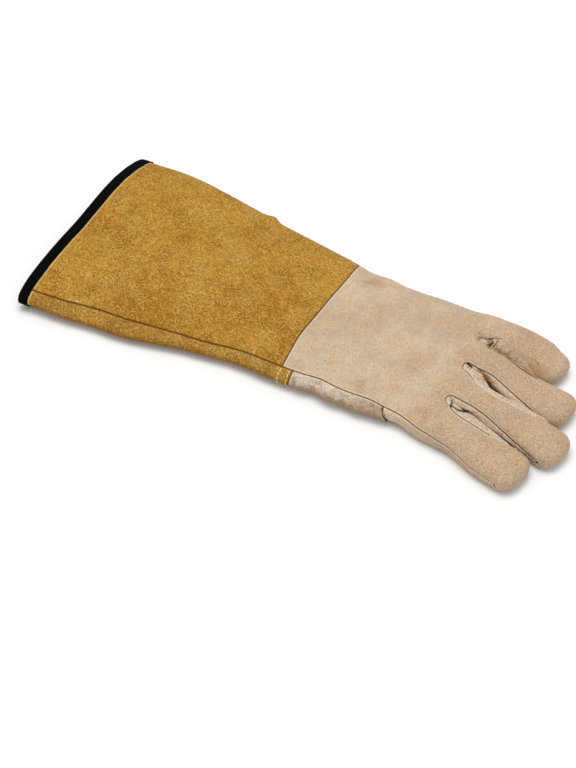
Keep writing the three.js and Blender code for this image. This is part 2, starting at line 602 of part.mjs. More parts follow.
// Thumb
const thumbTip = (turns, across) => turns.slice(1).map((turn) =>
  across.map((degrees) => onThumbTip(turn, (degrees * TIP_SIDE) / 90)));
function thumbBack() {
  const across = spread(-90, 90, STEPS.thumbAcross);
  const share = (degrees) => (power(Math.sin(rad(degrees)), 2 / THUMB_ARCH) + 1) / 2;
  const wall = spread(0, 1, 5).slice(0, -1).map((down) => across.map((degrees) => {
    const x = lerp(wingEnd(down), CUFF_LENGTH, share(degrees));
    return roundBody(x, seamPlace(x) + 5, 3, down);
  }));
  const floor = spread(0, THUMB.length - 1, 2 * STEPS.thumb).map((station) =>
    across.map((degrees) => onThumb(station, degrees, false)));
  const tip = thumbTip(spread(180, THUMB_SEAM, 3), across);
  return sheet('thumb_back', GRAIN_PALE, HAND_WALL, [[...wall, ...floor, ...tip]], true);
}
function thumbFront() {
  const across = spread(-90, 90, STEPS.thumbAcross);
  const rows = spread(0, 1, STEPS.thumb).map((u) => across.map((degrees) => {
    const place = power(Math.sin(rad(degrees)), 2 / THUMB_ARCH);
    return onThumb(lerp((CROTCH_FAR * (1 + place)) / 2, 5, u), degrees, true);
  }));
  return sheet('thumb_front', GRAIN, HAND_WALL, [[...rows, ...thumbTip(spread(0, THUMB_SEAM, 3), across)]]);
}

const glove = new THREE.Group();
const sheets = [
  gauntletBack(), gauntletPalm(), handBack(), palm(), ...SET_IN.map(setInFront),
  fourchette(0), fourchette(1), fourchette(2), thumbBack(), thumbFront(),
];
glove.add(cuffBinding(), ...sheets.map(leather));
const middle = new THREE.Box3().setFromObject(glove).getCenter(new THREE.Vector3());
glove.position.set(-middle.x, -middle.y, 0);
export default glove;
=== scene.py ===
# %% [markdown]
# # A leather fireplace glove
# This is a long glove for tending a fire, made for the left hand. It lies on its palm with its
# back up, and its thumb is folded flat under the palm. The cuff is golden suede, the hand is pale
# grain leather, and black tape binds the opening.
# A glover cuts such a glove from about a dozen flat pieces. This notebook builds the same pieces,
# gives each its own thickness, rolls their edges in where they are sewn, puts in the folds, and
# then adds the stitches and the finish of each material.

import math
from functools import partial

import bpy
import numpy as np
from mathutils import Matrix, Vector, kdtree
from mathutils.bvhtree import BVHTree


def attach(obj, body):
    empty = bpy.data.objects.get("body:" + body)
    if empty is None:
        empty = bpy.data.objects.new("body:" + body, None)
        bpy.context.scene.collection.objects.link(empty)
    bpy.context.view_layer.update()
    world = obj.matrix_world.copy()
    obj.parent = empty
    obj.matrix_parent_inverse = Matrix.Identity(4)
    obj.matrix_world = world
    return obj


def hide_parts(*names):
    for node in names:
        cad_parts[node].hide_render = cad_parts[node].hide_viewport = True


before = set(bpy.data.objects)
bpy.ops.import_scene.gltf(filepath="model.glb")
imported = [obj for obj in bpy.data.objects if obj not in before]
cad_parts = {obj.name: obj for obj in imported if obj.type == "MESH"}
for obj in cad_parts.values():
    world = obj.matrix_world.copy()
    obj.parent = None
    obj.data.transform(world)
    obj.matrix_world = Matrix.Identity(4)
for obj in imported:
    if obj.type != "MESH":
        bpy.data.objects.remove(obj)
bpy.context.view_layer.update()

# %% [markdown]
# ## Camera
# The camera comes first. It looks down on the glove at 48 degrees from the thumb's side. A long
# lens from 1.5 m away keeps the fingers and the cuff at nearly the same scale, as a catalogue
# photographer would.
# Sizes below are in millimetres along the glove: x runs from the cuff's opening to the fingertips,
# y from the thumb's side to the little finger, and z up. ORIGIN is the place of the shared frame's
# origin in them.

# %% Camera
ORIGIN = np.array([195.187, 3.294, 0.0])
LOOK_AT = np.array([201.8, -44.7, 0.0])
CAMERA_AZIMUTH, CAMERA_HEIGHT, CAMERA_DISTANCE = math.radians(31.58), math.radians(48.0), 1500.0
LENS, SENSOR = 100, 36
# The direction from the glove to the camera
TOWARDS = np.array([math.sin(CAMERA_AZIMUTH) * math.cos(CAMERA_HEIGHT),
                    -math.cos(CAMERA_AZIMUTH) * math.cos(CAMERA_HEIGHT), math.sin(CAMERA_HEIGHT)])


def metres(points):
    return (np.asarray(points) - ORIGIN) / 1000


def add_object(name, data):
    thing = bpy.data.objects.new(name, data)
    bpy.context.scene.collection.objects.link(thing)
    return thing


def add_camera():
    right = np.array([math.cos(CAMERA_AZIMUTH), math.sin(CAMERA_AZIMUTH), 0.0])
    lens = bpy.data.cameras.new("camera")
    lens.lens, lens.sensor_width, lens.clip_start = LENS, SENSOR, 0.05
    camera = add_object("camera", lens)
    turn = Matrix([right, np.cross(TOWARDS, right), TOWARDS]).transposed().to_4x4()
    camera.matrix_world = Matrix.Translation(metres(LOOK_AT + CAMERA_DISTANCE * TOWARDS)) @ turn
    bpy.context.scene.camera = camera
    return camera


print("camera at", [round(value, 3) for value in add_camera().location])

# %% [markdown]
# ## Sections of the glove
# The glove is a soft thing, but its shape still follows a rule: every cross-section of the cuff and
# hand is a low arch over a flat underside, and every finger is a flattened tube. A table gives the
# section's width, height and roundness at a few places, and a smooth curve through each column
# gives them everywhere. Whole arrays of points are worked out at once, which keeps this quick.

# %% Curves through tables
def curve(xs, ys, place):
    """Smooth curve through the points (xs, ys), at each value of place."""
    place = np.asarray(place, float)
    last = len(xs) - 1
    before, after = np.maximum(np.arange(last + 1) - 1, 0), np.minimum(np.arange(last + 1) + 1, last)
    slope = (ys[after] - ys[before]) / (xs[after] - xs[before])
    i = np.clip(np.searchsorted(xs, place, side="right") - 1, 0, last - 1)
    width = xs[i + 1] - xs[i]
    t = np.clip((place - xs[i]) / width, 0, 1)
    a, b, da, db = ys[i], ys[i + 1], slope[i] * width, slope[i + 1] * width
    return a + t * (da + t * (3 * (b - a) - 2 * da - db + t * (2 * (a - b) + da + db)))


def lerp(a, b, t):
    return a + (b - a) * t


def ramp(start, end, value):
    t = np.clip((value - start) / (end - start), 0, 1)
    return t * t * (3 - 2 * t)


def power(value, exponent):
    return np.sign(value) * np.abs(value) ** exponent


def stack(*coordinates):
    return np.stack(np.broadcast_arrays(*coordinates), -1)


def unit(vectors):
    return vectors / np.maximum(np.linalg.norm(vectors, axis=-1, keepdims=True), 1e-12)


def lengths_along(points):
    """How far along a line each of its points lies."""
    steps = np.linalg.norm(np.diff(points, axis=-2), axis=-1)
    return np.concatenate([np.zeros(steps.shape[:-1] + (1,)), np.cumsum(steps, axis=-1)], axis=-1)


# %% Sections of the cuff and hand
CUFF_LENGTH = 191.0
BODY_ARCH = 2.2
PLACE_STEPS = 64
# x, near edge, far edge, height of the edges, crown, roundness below, place of the back's seam
BODY = np.array([
    [-10, -83.5, 85.5, 8.0, 25.5, 16, -0.73],
    [0, -83.0, 87.2, 8.0, 25.3, 16, -0.73],
    [30, -80.0, 91.2, 7.0, 24.6, 16, -0.71],
    [60, -76.0, 89.4, 6.5, 24.0, 16, -0.68],
    [95, -68.8, 87.0, 6.5, 23.0, 15, -0.68],
    [130, -58.5, 82.9, 6.5, 22.0, 14, -0.72],
    [160, -53.0, 79.6, 7.0, 21.3, 13, -0.71],
    [191, -50.0, 76.2, 7.5, 20.8, 12, -0.7],
    [215, -50.4, 72.8, 8.0, 21.3, 10, -0.67],
    [240, -48.6, 73.7, 8.5, 21.8, 9, -0.68],
    [265, -45.6, 76.0, 8.5, 21.5, 9, -0.69],
    [285, -41.4, 78.6, 8.0, 20.3, 9, -0.8],
    [300, -43.2, 80.4, 7.5, 19.0, 9, -0.76],
    [325, -45.0, 81.0, 7.5, 18.0, 9, -0.76],
])


def body_columns(x):
    return [curve(BODY[:, 0], BODY[:, column], x) for column in range(1, 6)]


def seam_place(x):
    return curve(BODY[:, 0], BODY[:, 6], x)


def on_body(x, place):
    """Points round the section at x: place is -1 at the near edge, 0 at the crown, 1 at the far
    edge, 2 to 3 on the flat underside from far to near, and 4 at the near edge again."""
    x, place = np.broadcast_arrays(np.asarray(x, float), np.asarray(place, float))
    near, far, side, crown, around = body_columns(x)
    m = np.where(place < -1, place + 5, place)
    arch = np.radians(90 * np.where(m >= 4, m - 5, np.minimum(m, 1)))
    top_y = (near + far) / 2 + (far - near) / 2 * power(np.sin(arch), 2 / BODY_ARCH)
    top_z = side + (crown - side) * np.abs(np.cos(arch)) ** (2 / BODY_ARCH)
    turn = np.radians(90 * np.clip(np.where(m < 2, m - 1, 4 - m), 0, 1))
    inward = around * (1 - np.cos(turn))
    turn_y = np.where(m < 2, far - inward, near + inward)
    top, flat = (m <= 1) | (m >= 4), (m >= 2) & (m <= 3)
    y = np.where(top, top_y, np.where(flat, lerp(far - around, near + around, m - 2), turn_y))
    z = np.where(top, top_z, np.where(flat, 0, side * (1 - np.sin(turn))))
    return stack(x, y, z)


def seam_height(x):
    _, _, side, crown, _ = body_columns(x)
    return side + (crown - side) * np.cos(np.radians(90 * seam_place(x))) ** (2 / BODY_ARCH)


def top_place(x, y):
    near, far = body_columns(x)[:2]
    t = (y - (near + far) / 2) / ((far - near) / 2)
    return np.sign(t) * np.degrees(np.arcsin(np.clip(np.abs(t), 0, 1) ** (BODY_ARCH / 2))) / 90


def floor_place(x, y):
    near, far, _, _, around = body_columns(x)
    return 3 - (y - near - around) / (far - near - 2 * around)


def body_places(x, start, end, share):
    """The places at a share of the way, by length, round the section from place start to end."""
    x, start, end, share = np.broadcast_arrays(x, start, end, share)
    steps = np.linspace(0, 1, PLACE_STEPS + 1)
    lengths = lengths_along(on_body(x[..., None], lerp(start[..., None], end[..., None], steps)))
    wanted = share * lengths[..., -1]
    i = np.clip((lengths < wanted[..., None]).sum(-1), 1, PLACE_STEPS)[..., None]
    before, after = (np.take_along_axis(lengths, j, -1)[..., 0] for j in (i - 1, i))
    return lerp(start, end, (i[..., 0] - 1 + (wanted - before) / (after - before)) / PLACE_STEPS)


def around_body(x, start, end, share):
    return on_body(x, body_places(x, start, end, share))


print("the wrist is", round(float(np.diff(body_columns(CUFF_LENGTH)[:2])[0])), "mm wide")

# %% [markdown]
# ## Fingers and thumb
# Each finger is laid out by the two edges that show in plan. The back of the finger and its front
# are different pieces, and side strips, which glovers call fourchettes, fill the space between, so
# the table also says how many degrees from the finger's crown each piece ends.

# %% Fingers
FINGER_SIDE, FINGER_ARCH, FINGER_FLOOR, NOSE = 7.2, 2.6, 6, 2.2
TIP_SIDE, TIP_SEAM = 89.4, 130
# how far the rounded end reaches; then, from the crotch to the end: near x, near y, far x, far y,
# crown, and the degrees at which the front ends on the far side and on the near one
FINGERS = [
    (12.5, [[311, -44.2, 314, -10.6, 18.0, 126, 70], [330, -45.4, 334, -13.0, 17.5, 122, 72],
            [350, -51.4, 355, -18.2, 16.6, 112, 76], [370, -55.2, 375, -23.6, 15.2, 90, 90]]),
    (12.5, [[313, -9.6, 308, 22.2, 18.0, 126, 126], [332, -10.6, 330, 16.0, 18.0, 122, 122],
            [356, -16.4, 358, 13.4, 17.0, 112, 112], [386, -22.8, 388, 8.6, 15.4, 90, 90]]),
    (11.5, [[308, 24.5, 302, 52.6, 17.6, 126, 126], [327, 21.2, 325, 49.6, 17.6, 122, 122],
            [352, 15.6, 350, 44.2, 16.6, 112, 112], [374, 11.8, 378, 42.2, 15.2, 90, 90]]),
    (11, [[302, 54.0, 304, 80.8, 17.2, 90, 126], [322, 51.0, 324, 81.6, 17.0, 90, 122],
          [340, 46.4, 344, 79.6, 16.0, 90, 112], [352, 45.4, 358, 73.4, 14.8, 90, 90]]),
]
# shares of a finger's length, and the degrees at which the back ends there, near and far
SEAM_SHARES = np.array([0, 0.1, 0.33, 0.56, 0.78, 1.0])
BACK_SEAMS = np.array([
    [[70, 73, 79, 84, 85, 90], [44, 24, 17, 24, 38, 90]],
    [[45, 46, 49, 55, 70, 90], [50, 30, 19, 22, 38, 90]],
    [[48, 50, 45, 53, 68, 90], [50, 54, 62, 69, 78, 90]],
    [[46, 38, 32, 36, 54, 90], [90] * 6],
])


def finger_frame(finger, s):
    """The finger's middle and half width in plan, its crown, and the degrees of its seams, at each
    share of its length: bn and bf end the back, near and far, and cn and cf the front."""
    columns, station = np.array(FINGERS[finger][1], float).T, 3 * np.asarray(s, float)
    nx, ny, fx, fy, top, cf, cn = (curve(np.arange(4.0), column, station) for column in columns)
    bn, bf = (curve(SEAM_SHARES, degrees, s) for degrees in BACK_SEAMS[finger])
    near, far = stack(nx, ny, 0.0), stack(fx, fy, 0.0)
    return {"centre": (near + far) / 2, "half": (far - near) / 2, "top": top,
            "bn": bn, "bf": bf, "cf": cf, "cn": cn if finger else bn}


def with_z(point, z):
    return stack(point[..., 0], point[..., 1], z)


def on_finger(finger, s, degrees):
    """Points round a finger, in degrees from its crown, positive towards the little finger."""
    s, degrees = np.broadcast_arrays(s, degrees)
    at = finger_frame(finger, s)
    across = power(np.sin(np.radians(degrees)), 2 / FINGER_ARCH)
    up = np.cos(np.radians(degrees))
    z = np.where(up >= 0, (at["top"] - FINGER_SIDE) * np.abs(up) ** (2 / FINGER_ARCH),
                 -FINGER_SIDE * np.abs(up) ** (2 / FINGER_FLOOR))
    return with_z(at["centre"] + at["half"] * across[..., None], FINGER_SIDE + z)


def on_tip(finger, turn, degrees):
    """Points on a finger's rounded end: turn goes from its top, 0, round to its underside, 180."""
    turn, degrees = np.broadcast_arrays(np.radians(turn), np.radians(degrees))
    at = finger_frame(finger, 1.0)
    ahead = np.array([at["half"][1], -at["half"][0], 0]) / np.linalg.norm(at["half"])
    up, spread_out = np.cos(turn), np.cos(degrees) ** (2 / FINGER_ARCH)
    z = np.where(up >= 0, (at["top"] - FINGER_SIDE) * np.abs(up) ** (2 / NOSE) * spread_out,
                 -FINGER_SIDE * np.abs(up) ** (2 / NOSE) * np.cos(degrees) ** (2 / FINGER_FLOOR))
    across = power(np.sin(degrees), 2 / FINGER_ARCH)
    reach = FINGERS[finger][0] * power(np.sin(turn), 2 / NOSE) * spread_out
    point = at["centre"] + at["half"] * across[..., None] + ahead * reach[..., None]
    return with_z(point, FINGER_SIDE + z)


def on_crotch(i, turn, depth):
    """The side strip round the crotch between finger i and the next, from the back's edge, depth 0,
    to the front's, depth 1. turn is -90 on finger i, 0 nearest the wrist, 90 on the next finger."""
    turn, depth = np.broadcast_arrays(np.radians(turn), np.asarray(depth, float))
    a, b = finger_frame(i, 0.0), finger_frame(i + 1, 0.0)
    pa = on_finger(i, 0.0, lerp(a["bf"], a["cf"], depth))
    pb = on_finger(i + 1, 0.0, -lerp(b["bn"], b["cn"], depth))
    half = (pb - pa) / 2
    point = (pa + pb) / 2 + half * np.sin(turn)[..., None]
    return with_z(point, point[..., 2]) - stack(np.hypot(half[..., 0], half[..., 1]) * np.cos(turn), 0, 0)


reaches = [finger_frame(i, 1.0)["centre"][0] + FINGERS[i][0] for i in range(4)]
print("the fingers reach to x =", [round(float(reach)) for reach in reaches])

# %% Outline of the thumb
THUMB_THICK, THUMB_ROOT_THICK, LAYER_GAP = 8.5, 4.6, 0.6
THUMB_CAP, THUMB_SEAM, THUMB_ARCH, THUMB_FLOOR = 13, 100, 3, 8
CROTCH_FAR = 2.2
# near x, near y, far x, far y, from the near edge of the hand to the thumb's end
THUMB = np.array([[270, -35.6, 191, -38.0], [274, -30.0, 191, -22.0], [279, -23.0, 191, -8.0],
                  [284, -15.0, 222, 4.0], [291, -3.0, 242, 24.0], [297, 8.0, 257, 38.0]])


def thumb_frame(station):
    nx, ny, fx, fy = (curve(np.arange(6.0), column, station) for column in THUMB.T)
    near, far = stack(nx, ny, 0.0), stack(np.maximum(fx, CUFF_LENGTH), fy, 0.0)
    return (near + far) / 2, (far - near) / 2


def on_thumb_plan(station, across):
    centre, half = thumb_frame(np.broadcast_arrays(station, across)[0])
    return centre + half * np.asarray(across, float)[..., None]


def crotch_line(across):
    return on_thumb_plan(CROTCH_FAR * (1 + across) / 2, across)


THUMB_HEEL, THUMB_START = crotch_line(np.array(-1.0)), crotch_line(np.array(1.0))


def thumb_thickness(p):
    heel = np.hypot(p[..., 0] - THUMB_HEEL[0], p[..., 1] - THUMB_HEEL[1])
    start = np.hypot(p[..., 0] - THUMB_START[0], p[..., 1] - THUMB_START[1])
    return lerp(THUMB_ROOT_THICK, THUMB_THICK, np.minimum(ramp(0, 24, heel), ramp(0, 30, start)))


def on_thumb(station, degrees, over):
    """Points round the thumb; over is the inner layer, which faces the palm."""
    station, degrees = np.broadcast_arrays(np.asarray(station, float), np.asarray(degrees, float))
    angle = np.radians(degrees)
    p = on_thumb_plan(station, power(np.sin(angle), 2 / THUMB_ARCH))
    thick = thumb_thickness(p)
    if over:
        return with_z(p, thick / 2 + thick / 2 * np.cos(angle) ** (2 / THUMB_ARCH))
    hem = np.where(degrees < 0, 1, ramp(1.9, CROTCH_FAR + 0.5, station))
    return with_z(p, thick / 2 * (1 - np.cos(angle) ** (2 / THUMB_FLOOR)) * hem)


def on_thumb_tip(turn, degrees):
    turn, across = np.broadcast_arrays(np.radians(turn), np.radians(degrees))
    centre, half = thumb_frame(5.0)
    ahead = np.array([half[1], -half[0], 0]) / np.linalg.norm(half)
    spread_out = np.cos(across) ** (2 / THUMB_ARCH)
    up = np.cos(turn)
    reach = THUMB_CAP * power(np.sin(turn), 2 / NOSE) * spread_out
    point = centre + half * power(np.sin(across), 2 / THUMB_ARCH)[..., None] + ahead * reach[..., None]
    flat = np.where(up >= 0, 2 / THUMB_ARCH, 2 / THUMB_FLOOR)
    return with_z(point, THUMB_THICK / 2 * (1 + power(up, 2 / NOSE) * np.cos(across) ** flat))


THUMB_OUTLINE = np.concatenate([
    crotch_line(np.linspace(1, -1, 11)), on_thumb_plan(np.linspace(0.5, 5, 10), np.full(10, -1.0)),
    on_thumb_tip(90, np.linspace(-80, 80, 11)), on_thumb_plan(np.linspace(5, 2.5, 7), np.full(7, 1.0))])


def outside_thumb(p):
    """How far each point lies outside the thumb, seen from above."""
    a, b = THUMB_OUTLINE[:, :2], np.roll(THUMB_OUTLINE[:, :2], -1, axis=0)
    q = p.reshape(-1, 3)[:, None, :2]
    along = np.clip(((q - a) * (b - a)).sum(2) / ((b - a) ** 2).sum(1), 0, 1)
    nearest = np.linalg.norm(q - (a + (b - a) * along[..., None]), axis=2).min(1)
    crosses = (a[:, 1] > q[..., 1]) != (b[:, 1] > q[..., 1])
    with np.errstate(divide="ignore", invalid="ignore"):
        left = q[..., 0] < a[:, 0] + (q[..., 1] - a[:, 1]) / (b[:, 1] - a[:, 1]) * (b[:, 0] - a[:, 0])
    inside = (crosses & left).sum(1) % 2 == 1
    return np.where(inside, 0, nearest).reshape(p.shape[:-1])


def lift_palm(p, lifted):
    """The palm lies on the folded thumb, so it is lifted by it."""
    height = lifted * (thumb_thickness(p) + LAYER_GAP) * (1 - ramp(1, 12, outside_thumb(p)))
    low = 1 - np.clip(p[..., 2] / body_columns(p[..., 0])[2], 0, 1)
    return with_z(p, p[..., 2] + height * low * ramp(CUFF_LENGTH, CUFF_LENGTH + 8, p[..., 0]))


print("the thumb reaches to x =", round(float(THUMB_OUTLINE[:, 0].max())))

# %% Lanes of the hand
# The hand is divided into four lanes, one to a finger, which part at the finger crotches.
BACK_LANES, PALM_LANES, PALM_NEAR = [-14, 16, 46], [12, 33, 54], -7.0
FRONT_BASE, SPREAD_SHARE, WING_SHARE, HEEL_SHARE = 0.92, 0.8, 0.714, 0.64
HAND_END = FINGERS[0][1][0][0] - 3
WING_END, WING_FOOT = lerp(CUFF_LENGTH, HAND_END, WING_SHARE), 270.0


def wing_end(down):
    return lerp(WING_END, WING_FOOT, ramp(0.5, 1, down)) + 5.2 * np.sin(np.pi * np.clip(down / 0.9, 0, 1))


def palm_near_edge(share):
    """Along the crotch of the thumb, up the end of the wing, and along the back's seam."""
    t = np.clip(share / HEEL_SHARE, 0, 1)
    p = crotch_line(lerp(1, -1, 0.4 * ramp(0, 1, t) + 0.6 * t))
    start = 1 - ramp(0, 0.12, share)
    crotch_x = lerp(p[..., 0], CUFF_LENGTH, start)
    crotch_place = floor_place(crotch_x, lerp(p[..., 1], PALM_NEAR, start))
    up = np.clip((share - HEEL_SHARE) / (WING_SHARE - HEEL_SHARE), 0, 1)
    x = np.where(share <= HEEL_SHARE, crotch_x,
                 np.where(share < WING_SHARE, wing_end(1 - up), lerp(CUFF_LENGTH, HAND_END, share)))
    wall_place = np.where(share < WING_SHARE, lerp(3, seam_place(WING_END) + 5, up), seam_place(x) + 5)
    return x, np.where(share <= HEEL_SHARE, crotch_place, wall_place)


def edge_place(side, i, share):
    """x, and the place round the body, of lane edge i: 0 is the near edge, 4 the far one."""
    if 0 < i < 4:
        end = on_crotch(i - 1, 0.0, 0.0 if side == "back" else 1.0)
        start = (BACK_LANES if side == "back" else PALM_LANES)[i - 1]
        x, y = lerp(CUFF_LENGTH, end[0], share), lerp(start, end[1], share)
        return x, top_place(x, y) if side == "back" else floor_place(x, y)
    x = lerp(CUFF_LENGTH, HAND_END if i == 0 else FINGERS[3][1][0][2] - 3, share)
    if i == 4:
        return x, np.ones_like(x)
    return (x, seam_place(x)) if side == "back" else palm_near_edge(share)


def finger_angles(side, at, v):
    return lerp(-at["bn"], at["bf"], v) if side == "back" else lerp(-at["cn"], at["cf"] - 360, v)


def body_point(side, lane, share, v):
    near_x, near_place = edge_place(side, lane, share)
    far_x, far_place = edge_place(side, lane + 1, share)
    return around_body(lerp(near_x, far_x, v), near_place, far_place, v)


def crotch_row(side, lane, v, turn):
    depth, at = (0.0 if side == "back" else 1.0), finger_frame(lane, 0.0)
    first = on_finger(lane, 0.0, finger_angles(side, at, 0.0))
    last = on_finger(lane, 0.0, finger_angles(side, at, 1.0))
    here = on_finger(lane, 0.0, finger_angles(side, at, v))
    closed = stack(3 * (1 - turn / 90), 0, 0)
    near = on_crotch(lane - 1, turn, depth) if lane > 0 else first - closed
    far = on_crotch(lane, -turn, depth) if lane < 3 else last - closed
    width = (last - first)[:2]
    share = ((here - first)[..., :2] * width).sum(-1) / (width ** 2).sum()
    level = here[..., 2] - lerp(first[2], last[2], share)
    point = lerp(near, far, share[..., None])
    return with_z(point, point[..., 2] + level)


def lane_point(side, lane, share, v):
    share, v = np.broadcast_arrays(share, v)
    step = crotch_row(side, lane, v, np.zeros_like(v)) - body_point(side, lane, np.ones_like(v), v)
    p = body_point(side, lane, share, v) + step * ramp(SPREAD_SHARE, 1, share)[..., None]
    return p if side == "back" else lift_palm(p, 1 - ramp(FRONT_BASE, 1, share))


print("the wing of the thumb ends at x =", round(WING_END, 1))

# %% [markdown]
# ## How the glove has settled
# A worn glove doesn't keep its pattern's clean lines. These moves depend only on where a point is,
# so two pieces that share a seam move together and never part: the wrist seam bows towards the
# hand, the near edge goes in and out, the top sags between its folds, and everything wanders by a
# part of a millimetre. The same function later places the stitches.

# %% Settling
def rough(points, size, seed=0):
    """Smooth noise between -1 and 1, with bumps about one size across."""
    q = np.asarray(points, float) / size + 31.7 * seed
    cell = np.floor(q)
    t = q - cell
    t = t * t * (3 - 2 * t)
    total = 0
    for corner in np.ndindex(2, 2, 2):
        h = np.sin((cell + corner) @ np.array([127.1, 311.7, 74.7]) + seed) * 43758.5453
        total = total + (2 * (h - np.floor(h)) - 1) * np.prod(np.where(corner, t, 1 - t), axis=-1)
    return total


def from_line(points, fold):
    """How far each point lies, seen from above, from a fold's line, and how far along it, 0 to 1."""
    start, end = np.array(fold[:2], float), np.array(fold[2:4], float)
    q = points[..., :2]
    t = np.clip(((q - start) * (end - start)).sum(-1) / max(((end - start) ** 2).sum(), 1e-9), 0, 1)
    return np.linalg.norm(q - start - (end - start) * t[..., None], axis=-1), t


def folds_height(points, folds):
    """Sum of folds, each a line from x, y to x, y with a width and a height in millimetres."""
    total = np.zeros(points.shape[:-1])
    for fold in folds:
        away, t = from_line(points, fold)
        total += fold[5] * np.exp(-(away / fold[4]) ** 2) * (1 - 0.6 * np.abs(2 * t - 1) ** 3)
    return total


# y, and how far the wrist seam bows towards the hand there
WRIST_BOW = np.array([[-44, 5.4], [-30, 4.2], [-16, 3.1], [4, 3.3], [25, 3.0], [48, 2.4], [75, 0.1]])
# how far the near edge's strip has slid towards the hand
STRIP_SLIDE = 8.6
# x, and how far the near edge stands inwards there
NEAR_WAVES = np.array([
    [0, 0], [40, 0], [55, 0.8], [75, -0.4], [110, 0.6], [140, -0.8], [165, 0.8], [185, -0.5],
    [205, 0.2], [222, 2.6], [238, 0.8], [262, 0.2], [280, 0.6], [300, 0.4], [325, 0],
])
# x, and how far the far edge stands inwards there
FAR_WAVES = np.array([
    [0, 0], [60, -0.4], [96, 0.4], [104, -0.3], [108, -1.8], [113, -1.5], [117, 0.9], [128, 0.4],
    [160, 0], [188, 0.6], [204, 0.8], [216, -1.6], [230, 0], [262, -0.6], [290, 0.4], [312, 0],
])
# folds on top: from x, y to x, y, width, height
TOP_FOLDS = [
    (107, 74, 114, 88, 2.8, 1.9), (60, 60, 150, 66, 12, -0.8), (148, -30, 188, 2, 9, 0.7),
    (20, -40, 110, -20, 22, 0.9), (165, 20, 185, 50, 6, -0.6), (8, 10, 60, 40, 14, -0.8),
    (216, 66, 222, 40, 4.0, -1.5), (208, 62, 212, 40, 4.5, 0.7), (228, 44, 238, 26, 6, -1.0),
    (248, -38, 262, -30, 4.0, -1.4), (262, -36, 276, -22, 5, 0.7), (262, 6, 284, -4, 2.4, -0.7),
    (262, 11, 284, 2, 3.2, 0.5), (232, 30, 262, 24, 7, -0.5), (292, -32, 306, -24, 4, -1.0),
    (286, 30, 300, 36, 4.5, -0.6), (196, -6, 224, 8, 8, 0.7), (270, 52, 298, 58, 6, 0.6),
    (214, -12, 260, -18, 9, 0.6), (280, 12, 300, 18, 4, -0.6), (200, -38, 220, -30, 5, -0.6),
]


def beside_wrist(x):
    """1 at the wrist's seam, and down to 0 on both sides of it."""
    return ramp(148, 191, x) * (1 - ramp(205, 248, x))


def slide_strip(p):
    """Slides the near edge's pieces along the side seam, which they follow, towards the hand."""
    x, y, z = p[..., 0], p[..., 1], p[..., 2]
    step = STRIP_SLIDE * beside_wrist(x) * (1 - ramp(-40, -28, y)) * (z < seam_height(x) + 0.5)
    turn = on_body(x + step, seam_place(x + step)) - on_body(x, seam_place(x))
    return p + turn * stack(1.0, ramp(-6, -0.5, z - seam_height(x)), ramp(-6, -0.5, z - seam_height(x)))


def settle(p, back=False):
    """Moves points to where the worn glove has them; back is for the two pieces of the back."""
    p = p if back else slide_strip(p)
    x, y, z = p[..., 0], p[..., 1], p[..., 2]
    near, far = body_columns(x)[:2]
    bow = curve(*WRIST_BOW.T, y) * np.maximum(ramp(11.5, 14, z), 1 - ramp(-40, -28, y))
    along = bow * beside_wrist(x) + 0.5 * rough(p, 22, 61) * ramp(10, 30, x)
    inward = curve(*NEAR_WAVES.T, x) * (1 - ramp(2, 16, y - near)) - curve(*FAR_WAVES.T, x) * (
        1 - ramp(2, 16, far - y))
    wander = (0.6 * rough(p, 30, 62) + 0.25 * rough(p, 11, 63)) * ramp(0, 20, x)
    across = inward * (1 - ramp(318, 330, x)) + wander
    top = ramp(6.5, 13, z)
    sag = 0.55 * rough(p, 48, 64) + 0.35 * rough(p, 24, 65) + folds_height(p, TOP_FOLDS)
    return stack(x + along, y + across, z + top * sag * ramp(4, 20, x))


near_edge = on_body(np.linspace(0, 300, 61), -1.0)
moved = np.linalg.norm(settle(near_edge) - near_edge, axis=1)
print(f"the near edge has moved by up to {moved.max():.1f} mm")

# %% [markdown]
# ## From grids of points to pieces of leather
# Each piece starts as one or more grids of points on its outer face. Three things then make it
# leather: its sewn edges roll in towards the seam, as they do once a glove is turned right side
# out; the folds and the small waves that a seam gathers push the face in and out; and an inner
# face is added behind it. All of this is array work on the points, so it is quick, and the seam's
# distance is kept on the mesh for the materials to read.

# %% Grids
SEAM_ROLL, SEAM_DEPTH, SEAM_TRIM = 0.8, 0.42, -0.35
HAND_WALL, CUFF_WALL, LOWEST_INSIDE = 1.1, 1.4, 0.05
FAR_FROM_SEAM = 9.0
# how far from a seam the extra rows of points lie, and how many steps of welding a millimetre has
EXTRA_ROWS = np.array([-1.4, -0.8, -0.35, 0.35, 0.8, 1.4])
WELD_STEPS = 50


def eased(steps, pull=0.7):
    """Shares from 0 to 1 that crowd together at both ends, where the seams are."""
    t = np.linspace(0, 1, steps + 1)
    return t - pull * np.sin(2 * np.pi * t) / (2 * np.pi)


def crowded(shares, places, length):
    """Adds rows close to some places, given the whole length in millimetres."""
    extra = np.asarray(places)[:, None] + EXTRA_ROWS / length
    merged = np.unique(np.round(np.concatenate([shares, places, extra.ravel()]), 6))
    return merged[(merged >= shares[0]) & (merged <= shares[-1])]


